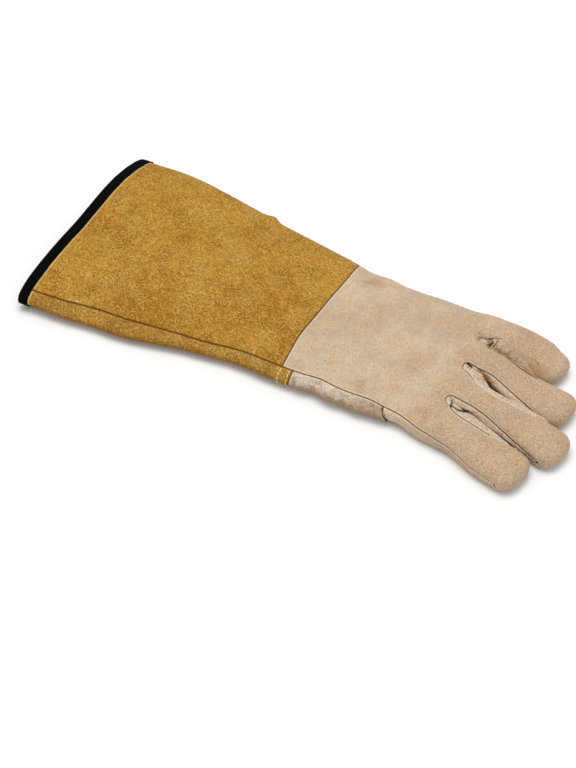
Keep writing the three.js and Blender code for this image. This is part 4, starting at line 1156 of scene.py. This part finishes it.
def wing_tone(p):
    """The wing's upper side is pale where it comes from the belly, up to its end, and paler than its
    low side as painted light.
    """
    return ramp(3, 9, p[:, 2]) * (1 - 0.8 * ramp(240, 268, p[:, 0]))


make_leather("thumb_back", "grain_leather_pale", [thumb_outer()], HAND_WALL, wing_waves, turned=True,
             gather=0.25, rounds=3, dark_places=WING_DARK, tone=wing_tone)
make_leather("thumb_front", "grain_leather", [thumb_inner()], HAND_WALL, lambda p: 0.12 * rough(p, 9, 41),
             gather=0.05, rounds=3)

# %% [markdown]
# ## The binding
# Woven tape is folded over the cuff's raw edge and sewn through. A closed, rounded section is
# carried once round the opening, a little looser and tighter as a hand-fed binding comes out. Its
# UV map runs in millimetres along and across the tape, so that its weave can follow it.

# %% Binding
AROUND_OPENING, HEM_STEPS = 380, 9
TAPE_OUTER, TAPE_INNER, TAPE_BEND = 2.0, 1.2, 1.3
# the cuff's places from which and to which the tape goes round
FULL_TURN = (-1.0, 4.0)


def tape_section():
    """(along the cuff, outward) points of the folded tape, from its outer hem round to its inner."""
    turn, level = np.radians(np.linspace(90, 270, HEM_STEPS)), np.ones(HEM_STEPS)
    ahead, out = TAPE_BEND * np.cos(turn), np.sin(turn)
    layer = np.linspace(TAPE_WIDTH - 0.3, 0.5, HEM_STEPS)
    sewn_in = 0.35 * np.exp(-((layer - TAPE_WIDTH + 1.6) / 0.6) ** 2)
    hem = [(TAPE_WIDTH, TAPE_INNER + 0.1), (TAPE_WIDTH + 0.1, TAPE_OUTER - 0.3)]
    outside = [*hem, *zip(layer, TAPE_OUTER - sewn_in), *zip(ahead, TAPE_OUTER * out),
               *zip(layer[::-1], sewn_in[::-1] - TAPE_OUTER), *((x, -y) for x, y in hem[::-1])]
    inside = [*zip(layer, -TAPE_INNER * level), *zip(0.4 * ahead[::-1], TAPE_INNER * out[::-1]),
              *zip(layer[::-1], TAPE_INNER * level)]
    return np.array(outside + inside) - [0, SHEET_THICK / 2 + 0.1]


def round_opening(count):
    """Places round the opening at equal steps of the tape, and how far along it each one is."""
    fine = np.linspace(*FULL_TURN, 2001)
    length = lengths_along(settle(on_cuff(np.zeros(2001), fine)))
    steps = np.linspace(0, length[-1], count + 1)
    return np.interp(steps[:-1], length, fine), steps


def out_of_opening(place, start, step=0.004):
    """The direction away from the inside at each place round the opening."""
    rim = np.zeros(len(place))
    before = np.where(place > FULL_TURN[0] + step, place - step, FULL_TURN[1] - step)
    out = unit(np.cross(on_cuff(rim, place + step) - on_cuff(rim, before), [1, 0, 0]))
    return out * np.sign((out * (start - [0, 2, 12])).sum(1))[:, None]


def tape_points(section, place):
    start = settle(on_cuff(np.zeros(len(place)), place))
    out, (along, outward) = out_of_opening(place, start), section.T
    wander = 1 + 0.025 * rough(start, 9, 51) + 0.02 * rough(start, 4, 52)
    thick = outward + 0.12 * rough(start, 6, 53)[:, None] * (outward > 0)
    points = settle(on_cuff(np.maximum(along, 0) / CUFF_LENGTH, place[:, None]))
    points[..., 0] = start[:, None, 0] + along * np.where(along > 0, wander[:, None], 1)
    points += out[:, None] * thick[..., None]
    points[..., 2] = np.maximum(points[..., 2], 0)
    return points


def make_binding():
    section, (place, steps) = tape_section(), round_opening(AROUND_OPENING)
    points, width = tape_points(section, place), len(section)
    ids = np.arange(AROUND_OPENING * width).reshape(AROUND_OPENING, width)
    ahead = np.roll(ids, -1, 0)
    faces = stack(ids, np.roll(ids, -1, 1), np.roll(ahead, -1, 1), ahead).reshape(-1, 4)
    mesh = bpy.data.meshes.new("cuff_tape")
    mesh.from_pydata(metres(points.reshape(-1, 3)).tolist(), [], faces.tolist())
    uv = stack(steps[:-1, None], lengths_along(section)).reshape(-1, 2)[faces.ravel()].reshape(-1, 4, 2)
    last = uv[-width:, 2:, 0]
    last += np.where(last < 1, steps[-1], 0)
    mesh.uv_layers.new(name="tape").data.foreach_set("uv", uv.ravel().astype(np.float32))
    mesh.shade_smooth()
    tape = add_object("cuff_tape", mesh)
    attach(tape, "root")
    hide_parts("cuff_binding")
    print(f"tape: {steps[-1]:.0f} mm round, {2 * len(faces)} triangles")


make_binding()

# %% [markdown]
# ## Where the stitches run
# Two rows of thick thread hold the cuff and hand together. They run from the side seam down the
# near edge, across the palm's side and its tab, and up to the far edge. One more row follows the
# tab's own edge. Each row is a line of points that is laid on the finished leather: from a little
# outside it, the nearest place on its surface is looked up.

# %% Rows of stitches
THREAD = {"Spacing": 0.0031, "Length": 0.0027, "Radius": 0.00047, "Seed": 7}
# Places round the cuff where the wrist's rows start, counted from the back's seam, and end
ROW_START, ROW_END = 4.93, 1.35
# How far in the tab's row starts, and how far it stands out beside the tab's sides
TAB_ROW_START, TAB_ROW_BESIDE = 10, 4


def surface_of(*names):
    """A search tree over the faces of some pieces."""
    points, faces = [], []
    for name in names:
        mesh = bpy.data.objects[name].data
        start = len(points)
        points += [vertex.co.copy() for vertex in mesh.vertices]
        faces += [[start + corner for corner in polygon.vertices] for polygon in mesh.polygons]
    return BVHTree.FromPolygons(points, faces)


def lay_row(tree, points, outward, sunk=0.05):
    """Moves a row of points in millimetres on to the surface, and sinks it in by a little."""
    laid = []
    for start, out in zip(metres(points), unit(outward)):
        place, normal = tree.find_nearest(Vector(start + 0.003 * out))[:2]
        laid.append(np.array(place + normal * (THREAD["Radius"] - sunk / 1000)))
    laid = np.array(laid)
    laid[:, 2] = np.maximum(laid[:, 2], 0.0002)
    return laid


def wrist_row(x):
    place = body_places(np.full(160, x), seam_place(x) + ROW_START, ROW_END, np.linspace(0, 1, 160))
    p = on_cuff((x - OPENING_X) / (CUFF_LENGTH - OPENING_X), place)
    return p, stack(0, p[:, 1] * 0.02 - 0.2, p[:, 2] - 10)


def tab_row(inset):
    turn = np.linspace(0, np.pi, 120)
    middle, half = (TAB["near"][1] + TAB["far"][0]) / 2, (TAB["far"][0] - TAB["near"][1]) / 2
    across, along = power(np.cos(turn), 0.35), power(np.sin(turn), 0.35)
    x = CUFF_LENGTH - TAB_ROW_START - (TAB["length"] - TAB_ROW_START - inset) * along
    p = stack(x, middle - (half + TAB_ROW_BESIDE - inset) * across, 0.0)
    return p, np.broadcast_to([0, 0, -1.0], p.shape)


def side_dots():
    p = np.array([[34.0, -70.9, 16.5], [36.3, -70.5, 16.5], [39.0, -70.0, 16.5]])
    return p, np.broadcast_to([0, -0.3, 1.0], p.shape)


cuff_and_tab = surface_of("gauntlet_palm_leather", "gauntlet_back_leather", "palm_leather")
ROWS = []
for points, outward in (wrist_row(183.4), wrist_row(189.2), tab_row(2.0), side_dots()):
    ROWS.append(lay_row(cuff_and_tab, settle(points), outward))
    print(f"row of {1000 * lengths_along(ROWS[-1])[-1]:.0f} mm")

# %% [markdown]
# ## Networks of nodes in plain expressions
# Geometry node groups and materials are networks of small nodes. Written as Python sums, a network
# is easier to read: Wire wraps a socket, and adding or multiplying wires adds the Math nodes.

# %% Wires
class Wire:
    """A node's output, on which + and * add Math nodes."""

    def __init__(self, network, socket):
        self.network, self.socket = network, socket

    def __add__(self, other):
        return self.network.add("ShaderNodeMath", {"operation": "ADD"}, {0: self, 1: other})

    def __mul__(self, other):
        return self.network.add("ShaderNodeMath", {"operation": "MULTIPLY"}, {0: self, 1: other})

    __radd__, __rmul__ = __add__, __mul__


class Network:
    """A tree of nodes in the making."""

    def __init__(self, tree):
        self.tree = tree

    def feed(self, node, inputs):
        """Gives each named socket its value or its wire."""
        for name, value in inputs.items():
            if isinstance(value, Wire):
                self.tree.links.new(value.socket, node.inputs[name])
            else:
                node.inputs[name].default_value = value

    def add(self, kind, settings, inputs, output=0):
        """Adds a node: its settings first, then its sockets."""
        node = self.tree.nodes.new(kind)
        for name, value in settings.items():
            setattr(node, name, value)
        self.feed(node, inputs)
        return Wire(self, node.outputs[output])


# %% [markdown]
# ## Stitches
# A stitch repeats some hundred times, so one short thread is made and placed along the rows by a
# node group: it cuts each row into equal steps, puts a thread at every step along the row's
# direction, and lets each one differ a little, because hand-guided machine stitches do.

# %% Stitches
STITCH_INPUTS = {"Rows": "Geometry", "Spacing": "Float", "Length": "Float", "Radius": "Float", "Seed": "Int",
                 "Thread": "Material"}


def stitch_group():
    tree = bpy.data.node_groups.new("row of stitches", "GeometryNodeTree")
    for label, kind in STITCH_INPUTS.items():
        tree.interface.new_socket(label, in_out="INPUT", socket_type="NodeSocket" + kind)
    tree.interface.new_socket("Stitches", in_out="OUTPUT", socket_type="NodeSocketGeometry")
    g = Network(tree)
    given = {socket.name: Wire(g, socket) for socket in tree.nodes.new("NodeGroupInput").outputs}
    rows = g.add("GeometryNodeMeshToCurve", {}, {"Mesh": given["Rows"]})
    places = g.add("GeometryNodeResampleCurve", {"mode": "LENGTH"}, {
        "Curve": rows, "Length": given["Spacing"]})
    along = g.add("FunctionNodeAlignRotationToVector", {"axis": "X"}, {
        "Vector": g.add("GeometryNodeInputTangent", {}, {})})
    differ = g.add("FunctionNodeRandomValue", {"data_type": "FLOAT_VECTOR"}, {
        "Min": (0.85, 0.85, 0.85), "Max": (1.12, 1.15, 1.15), "Seed": given["Seed"]})
    size = g.add("ShaderNodeCombineXYZ", {}, {
        "X": given["Length"] * 0.5, "Y": given["Radius"], "Z": given["Radius"]})
    scale = g.add("ShaderNodeVectorMath", {"operation": "MULTIPLY"}, {0: size, 1: differ})
    thread = g.add("GeometryNodeMeshUVSphere", {}, {"Segments": 8, "Rings": 6, "Radius": 1.0})
    lying = g.add("GeometryNodeTransform", {}, {"Geometry": thread, "Rotation": (0, math.pi / 2, 0)})
    placed = g.add("GeometryNodeInstanceOnPoints", {}, {
        "Points": places, "Instance": lying, "Rotation": along, "Scale": scale})
    solid = g.add("GeometryNodeRealizeInstances", {}, {"Geometry": placed})
    smooth = g.add("GeometryNodeSetShadeSmooth", {}, {"Geometry": solid})
    finished = g.add("GeometryNodeSetMaterial", {}, {"Geometry": smooth, "Material": given["Thread"]})
    g.feed(tree.nodes.new("NodeGroupOutput"), {"Stitches": finished})
    return tree


def sew(rows, material):
    mesh = bpy.data.meshes.new("rows")
    ends = np.cumsum([0] + [len(row) for row in rows])
    edges = [(i, i + 1) for start, end in zip(ends[:-1], ends[1:]) for i in range(start, end - 1)]
    mesh.from_pydata(np.concatenate(rows).tolist(), edges, [])
    guide = add_object("rows", mesh)
    modifier = guide.modifiers.new("stitches", "NODES")
    modifier.node_group = stitch_group()
    given = {**THREAD, "Thread": material}
    for socket in modifier.node_group.interface.items_tree:
        if socket.name in given:
            modifier[socket.identifier] = given[socket.name]
    ready = guide.evaluated_get(bpy.context.evaluated_depsgraph_get())
    stitches = add_object("stitches", bpy.data.meshes.new_from_object(ready))
    guide.modifiers.clear()
    bpy.data.objects.remove(guide)
    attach(stitches, "root")
    print("stitches:", len(stitches.data.polygons), "faces")


# %% [markdown]
# ## What the finishes share
# Every material here is a Principled shader whose colour and bumps come from noise at several
# sizes. The same few steps come back in each: noise of a size in millimetres, a soft threshold, a
# tint that is laid where a value is high, and a bump of a depth in millimetres.

# %% Finishes
class Finish(Network):
    """A material in the making."""

    def __init__(self, name, colour):
        self.material = bpy.data.materials.new(name)
        self.material.use_nodes = True
        self.material.diffuse_color = (*colour, 1)
        super().__init__(self.material.node_tree)
        self.place = self.add("ShaderNodeTexCoord", {}, {}, "Object")

    def noise(self, size_mm, detail=2.0, roughness=0.55, place=None, shift=0):
        """Noise between 0 and 1, with features of about this size. A shift, in metres, makes it
        differ from the other noise."""
        if shift:
            place = self.add("ShaderNodeVectorMath", {"operation": "ADD"},
                             {0: self.place, 1: (shift, 0.4 * shift, 0)})
        return self.add("ShaderNodeTexNoise", {}, {
            "Vector": place or self.place, "Scale": 1000 / size_mm, "Detail": detail, "Roughness": roughness})

    def cells(self, feature, size_mm):
        return self.add("ShaderNodeTexVoronoi", {"feature": feature}, {
            "Vector": self.place, "Scale": 1000 / size_mm, "Randomness": 1.0}, "Distance")

    def stretched(self, turn, along, across=1.0):
        """The place on a piece, turned and stretched, so that noise on it runs in a direction."""
        return self.add("ShaderNodeMapping", {}, {
            "Vector": self.place, "Rotation": (0, 0, turn), "Scale": (along, across, 1.0)})

    def coordinate(self, axis):
        return self.add("ShaderNodeSeparateXYZ", {}, {"Vector": self.place}, axis)

    def attribute(self, name):
        return self.add("ShaderNodeAttribute", {"attribute_name": name}, {}, "Fac")

    def smooth(self, value, low, high, start=0.0, end=1.0):
        return self.add("ShaderNodeMapRange", {"interpolation_type": "SMOOTHSTEP"}, {
            "Value": value, "From Min": low, "From Max": high, "To Min": start, "To Max": end})

    def blend(self, share, a, b, kind="MIX"):
        a, b = (colour if isinstance(colour, Wire) else (*colour, 1) for colour in (a, b))
        return self.add("ShaderNodeMix", {"data_type": "RGBA", "blend_type": kind}, {0: share, 6: a, 7: b}, 2)

    def tint(self, colour, where, low, high, most, shade):
        """Lays a shade over the colour, as a value goes from low to high, by at most this share."""
        return self.blend(self.smooth(where, low, high, 0, most), colour, shade)

    def bump(self, height, depth_mm, under=None):
        inputs = {"Height": height, "Distance": depth_mm / 1000, "Strength": 1.0}
        if under is not None:
            inputs["Normal"] = under
        return self.add("ShaderNodeBump", {}, inputs)

    def finish(self, colour, roughness, normal, constants):
        self.feed(self.tree.nodes["Principled BSDF"],
                  {"Base Color": colour, "Roughness": roughness, "Normal": normal, **constants})
        return self.material


def dress(material, *names):
    for name in names:
        bpy.data.objects[name].data.materials.append(material)
    print(f"{material.name}: {len(material.node_tree.nodes)} nodes, on {', '.join(names)}")


# %% [markdown]
# ## Suede
# Split leather has no grain: its face is a mat of short fibres. Light sinks into it, so it is very
# rough, with a soft glow at grazing angles that the sheen gives. It takes dye unevenly, in clouds
# of about 30 mm, spots of 8 mm and a fine salt and pepper where the nap lies one way or the other.

# %% Suede
def suede_finish():
    f = Finish("golden_suede", (0.53, 0.25, 0.055))
    clouds, spots, specks = f.noise(38), f.noise(8, 3, 0.7), f.noise(1.3, 2, 0.7)
    nap, grit = f.noise(1.55, 3, 0.75, f.stretched(0.9, 0.6)), f.noise(1.25, 2, 0.6, shift=9)
    # The dye
    shade = 0.48 * clouds + 0.27 * spots + 0.25 * nap
    colour = f.blend(f.smooth(shade, 0.4, 0.59), (0.32, 0.138, 0.009), (0.46, 0.245, 0.034))
    colour = f.tint(colour, f.noise(26, 2, 0.6, shift=4), 0.5, 0.68, 0.65, (0.45, 0.27, 0.06))
    colour = f.tint(colour, f.noise(22, 3, 0.6, shift=6), 0.52, 0.7, 0.6, (0.46, 0.195, 0.016))
    # Dark bands: painted shade of shallow creases
    crease_shade = f.noise(12, 3, 0.65, f.stretched(0.5, 0.4))
    colour = f.tint(colour, crease_shade, 0.54, 0.68, 0.55, (0.27, 0.11, 0.007))
    # The nap, dark where it is combed down and light where it stands
    colour = f.tint(colour, nap + 0.5 * specks + 0.35 * spots, 0.94, 0.78, 0.42, (0.16, 0.056, 0.003))
    colour = f.tint(colour, nap * 0.5 + f.noise(1.3, 2, 0.7, shift=2), 0.76, 0.92, 0.38, (0.72, 0.46, 0.12))
    marked = f.smooth(f.noise(9, 2, 0.5, shift=12), 0.38, 0.6, 0.35, 0.78)
    colour = f.blend(f.smooth(grit, 0.49, 0.6, 0, 0.75) * marked, colour, (0.2, 0.08, 0.006))
    colour = f.blend(f.smooth(grit, 0.5, 0.38, 0, 0.65) * marked, colour, (0.70, 0.44, 0.11))
    # Painted shade low on the sides, but not on the underside, which lies flat
    height = f.coordinate("Z")
    low = f.smooth(height, 0.004, 0.0105, 0.7, 0) * f.smooth(height, 0.0008, 0.003)
    colour = f.blend(low, colour, (0.16, 0.06, 0.006))
    # The pale line beside the binding, painted light on the near strip's upper side, and the shade in
    # the seam
    colour = f.blend(f.attribute("pale") * 0.75, colour, (0.74, 0.58, 0.34))
    colour = f.tint(colour, f.attribute("seam"), 1.15, 0.3, 0.95, (0.12, 0.042, 0.003))
    lumps = f.bump(f.noise(4, 3, 0.6), 0.4, f.bump(nap, 0.5, f.bump(grit, 0.4)))
    return f.finish(colour, 0.93, lumps, {
        "Sheen Weight": 0.12, "Sheen Roughness": 0.5, "Sheen Tint": (1, 0.7, 0.3, 1),
        "Specular IOR Level": 0.1})


dress(suede_finish(), "gauntlet_back_leather", "gauntlet_palm_leather")

# %% [markdown]
# ## Grain leather
# Pigskin keeps its grain: pores in loose groups, fine creases between them, and a dull wax shine.
# It isn't dyed, so it runs from cream through tan to a faint pink and grey. The colour changes
# slowly, and painted shade darkens the low places and the seams. The side strips and the wing are the
# same hide from its soft belly, which is paler and has almost no shine.

# %% Grain leather
GREY_CAST, FINGER_CAST = (0.47, 0.395, 0.31), (0.94, 0.865, 0.81)


def grain_finish(name, light, tan, warm, paler, wrinkled, mottled_and_shaded=0.0):
    """light, tan and warm are the hide's colours and paler its pale places' one; wrinkled says how
    wrinkled it is, and the last argument how mottled it is and how much painted shade lies low on its sides."""
    f = Finish(name, light)
    seam, slit = f.attribute("seam"), f.attribute("slit")
    pores, creases = f.cells("F1", 2.3), f.cells("DISTANCE_TO_EDGE", 3.2)
    clouds, spots, fine = f.noise(30), f.noise(9, 3, 0.6), f.noise(1.4, 3, 0.75, f.stretched(0.4, 1.0, 0.55))
    grit = f.noise(1.05, 2, 0.6, shift=5)
    along = f.coordinate("X")
    fingers = f.smooth(along, 0.085, 0.125)
    # The hide, which is a little redder on the fingers, and its pale places: paler belly leather, and
    # painted light on folds and walls that lie in shade
    colour = f.blend(f.smooth(0.5 * clouds + 0.3 * spots + 0.2 * fine, 0.38, 0.6), tan, light)
    colour = f.tint(colour, f.noise(17, 3, 0.65), 0.48, 0.66, 0.7, warm)
    colour = f.tint(colour, f.noise(13, 2, 0.6, shift=3), 0.5, 0.66, 0.6, GREY_CAST)
    colour = f.blend(f.attribute("pale") * 0.9, colour, paler)
    colour = f.blend(f.smooth(along, 0.085, 0.135, 0, 0.75), colour, FINGER_CAST, "MULTIPLY")
    # Painted shade low on the sides, with a flecked edge, and brown flecks
    if mottled_and_shaded:
        height = f.coordinate("Z")
        low = f.smooth(height * 60 + f.noise(4, 3, 0.65, shift=9), 1.26, 0.98)
        colour = f.blend(low * f.smooth(height, 0.0008, 0.003) * mottled_and_shaded, colour, (0.21, 0.105, 0.042))
        colour = f.tint(colour, f.noise(2.6, 2, 0.6, shift=8), 0.62, 0.42, 0.4, (0.46, 0.33, 0.22))
    # The grain
    colour = f.tint(colour, fine, 0.48, 0.68, 0.6, (0.41, 0.27, 0.15))
    marked = f.smooth(fingers, 0, 1, 0.36, 0.7) * f.smooth(f.noise(8, 2, 0.5, shift=12), 0.36, 0.6, 0.6, 1.1)
    colour = f.blend(f.smooth(grit, 0.52, 0.64) * marked, colour, (0.38, 0.24, 0.13))
    colour = f.blend(f.smooth(grit, 0.48, 0.36) * marked, colour, (0.68, 0.54, 0.385))
    rusty = f.smooth(f.noise(1.7, 3, 0.7, shift=11), 0.5, 0.66, 0, 0.5)
    colour = f.blend(rusty * fingers, colour, (0.42, 0.235, 0.115))
    # The smudges and painted shade, and the pores in their groups
    smudged_and_shaded = f.attribute("smudge_and_shade") * f.smooth(f.noise(3.2, 3, 0.7), 0.3, 0.6, 0.35, 0.95)
    colour = f.blend(smudged_and_shaded, colour, (0.36, 0.20, 0.085))
    group = f.smooth(f.noise(15, 2, 0.5, shift=7) + fingers * 0.14, 0.44, 0.66, 0.06, 0.85)
    pored = f.smooth(pores, 0.05, 0.28, 1, 0) * group * f.smooth(fingers, 0, 1, 0.55, 1)
    colour = f.blend(pored, colour, (0.30, 0.15, 0.065))
    # A painted highlight on the ridge beside a seam, the shade in it, and painted shade in the slits
    colour = f.tint(colour, seam, 1.9, 0.8, 0.62, (0.74, 0.62, 0.46))
    colour = f.tint(colour, seam, 0.8, 0.32, 1.0, (0.125, 0.046, 0.01))
    colour = f.tint(colour, slit, 0.15, 0.5, 0.85, (0.16, 0.065, 0.02))
    colour = f.tint(colour, slit, 0.5, 0.9, 1.0, (0.02, 0.01, 0.006))
    pits = f.smooth(pores, 0.05, 0.35)
    grain = f.bump(pits, 0.2, f.bump(fine, 0.2, f.bump(grit, 0.16)))
    net = f.bump(f.smooth(creases, 0.0, 0.16), 0.14 * wrinkled, grain)
    folds = f.bump(f.noise(4.0, 3, 0.65), 0.7 * wrinkled, net)
    roughness = f.smooth(0.5 * spots + 0.5 * pits, 0.3, 0.8, 0.8, 0.64)
    return f.finish(colour, roughness, folds, {
        "Sheen Weight": 0.05, "Sheen Roughness": 0.6, "Specular IOR Level": 0.22})


dress(grain_finish("cream_grain_leather", (0.61, 0.475, 0.325), (0.50, 0.365, 0.232), (0.575, 0.375, 0.23),
                   (0.74, 0.61, 0.46), wrinkled=1.0),
      "hand_back_leather", "palm_leather", "middle_finger_front_leather", "ring_finger_front_leather",
      "thumb_front_leather")
dress(grain_finish("pale_belly_leather", (0.58, 0.44, 0.32), (0.48, 0.345, 0.24), (0.54, 0.36, 0.25),
                   (0.82, 0.74, 0.63), wrinkled=1.9, mottled_and_shaded=0.15),
      "fourchette_index_middle_leather", "fourchette_middle_ring_leather")
dress(grain_finish("wrinkled_grain_leather", (0.56, 0.42, 0.30), (0.45, 0.32, 0.22), (0.52, 0.345, 0.23),
                   (0.74, 0.62, 0.47), wrinkled=1.7, mottled_and_shaded=0.25),
      "fourchette_ring_little_leather")
dress(grain_finish("fluffy_belly_leather", (0.62, 0.48, 0.36), (0.50, 0.36, 0.25), (0.54, 0.37, 0.25),
                   (0.78, 0.67, 0.53), wrinkled=1.9, mottled_and_shaded=0.75),
      "thumb_back_leather")

# %% [markdown]
# ## Thread
# The thread is waxed cotton, a pale yellow that stands out from the suede. It is a little shiny on
# its high side and dull in its twist.

# %% Thread
def thread_finish():
    f = Finish("waxed_thread", (0.80, 0.66, 0.34))
    colour = f.blend(f.smooth(f.noise(2.5), 0.35, 0.65), (0.78, 0.53, 0.17), (0.90, 0.70, 0.33))
    fibres = f.bump(f.noise(0.35), 0.06)
    return f.finish(colour, 0.6, fibres, {"Sheen Weight": 0.2, "Specular IOR Level": 0.3})


sew(ROWS, thread_finish())

# %% [markdown]
# ## Woven tape
# Cotton tape has ribs across it, about one to a millimetre, and its black is never quite black.

# %% Tape
RIB_SPACING, THREAD_SPACING, WAVE_SCALE = 0.9, 0.5, 0.314


def woven(f, direction, spacing, settings):
    """Threads side by side, in millimetres of the tape's own map. A wave texture of scale 1 repeats
    every 0.314 of a unit."""
    return f.add("ShaderNodeTexWave", {"wave_type": "BANDS", "bands_direction": direction}, {
        "Vector": f.add("ShaderNodeUVMap", {"uv_map": "tape"}, {}),
        "Scale": WAVE_SCALE / spacing, **settings})


def tape_finish():
    f = Finish("black_tape", (0.012, 0.011, 0.012))
    ribs = woven(f, "X", RIB_SPACING, {"Distortion": 0.6, "Detail": 2.0, "Detail Scale": 3.0})
    threads = woven(f, "Y", THREAD_SPACING, {"Distortion": 0.4, "Detail": 1.0})
    fluff = f.noise(0.8, 3, 0.7)
    worn = f.smooth(0.5 * ribs + 0.5 * fluff, 0.25, 0.85)
    colour = f.blend(worn, (0.0016, 0.0015, 0.0016), (0.007, 0.0065, 0.0065))
    weave = f.bump(ribs * 0.7 + threads * 0.3, 0.25, f.bump(fluff, 0.12))
    return f.finish(colour, 0.85, weave, {"Specular IOR Level": 0.02})


dress(tape_finish(), "cuff_tape")

# %% [markdown]
# ## Floor and light
# The glove lies on a plain white sweep. One broad lamp hangs over it, a little towards the back, so
# that the near sides fall into soft shade, and a dim white room fills the rest.

# %% Floor and light
FLOOR_HALF, FLOOR_LEVEL, ROOM_STRENGTH = 6, -0.0004, 0.68


def add_floor():
    mesh = bpy.data.meshes.new("floor")
    corners = [(x * FLOOR_HALF, y * FLOOR_HALF, FLOOR_LEVEL) for x, y in ((-1, -1), (1, -1), (1, 1), (-1, 1))]
    mesh.from_pydata(corners, [], [(0, 1, 2, 3)])
    f = Finish("white_paper", (0.9, 0.9, 0.9))
    mesh.materials.append(f.finish((0.92, 0.92, 0.92, 1), 0.9, f.bump(f.noise(3), 0.02), {}))
    add_object("floor", mesh)


def add_lamp(name, place, aim, size, watts):
    lamp = bpy.data.lights.new(name, "AREA")
    lamp.shape, lamp.energy = "RECTANGLE", watts
    lamp.size, lamp.size_y = size
    turn = (Vector(aim) - Vector(place)).to_track_quat("-Z", "Y").to_matrix().to_4x4()
    add_object(name, lamp).matrix_world = Matrix.Translation(place) @ turn


def add_room(strength):
    world = bpy.data.worlds.new("room")
    world.use_nodes = True
    Network(world.node_tree).feed(world.node_tree.nodes["Background"], {
        "Color": (1, 1, 1, 1), "Strength": strength})
    bpy.context.scene.world = world


bpy.context.scene.view_settings.view_transform = "Standard"
add_floor()
add_lamp("overhead", place=(-0.12, 0.12, 1.5), aim=(0, 0, 0), size=(1.1, 0.9), watts=13)
add_room(ROOM_STRENGTH)
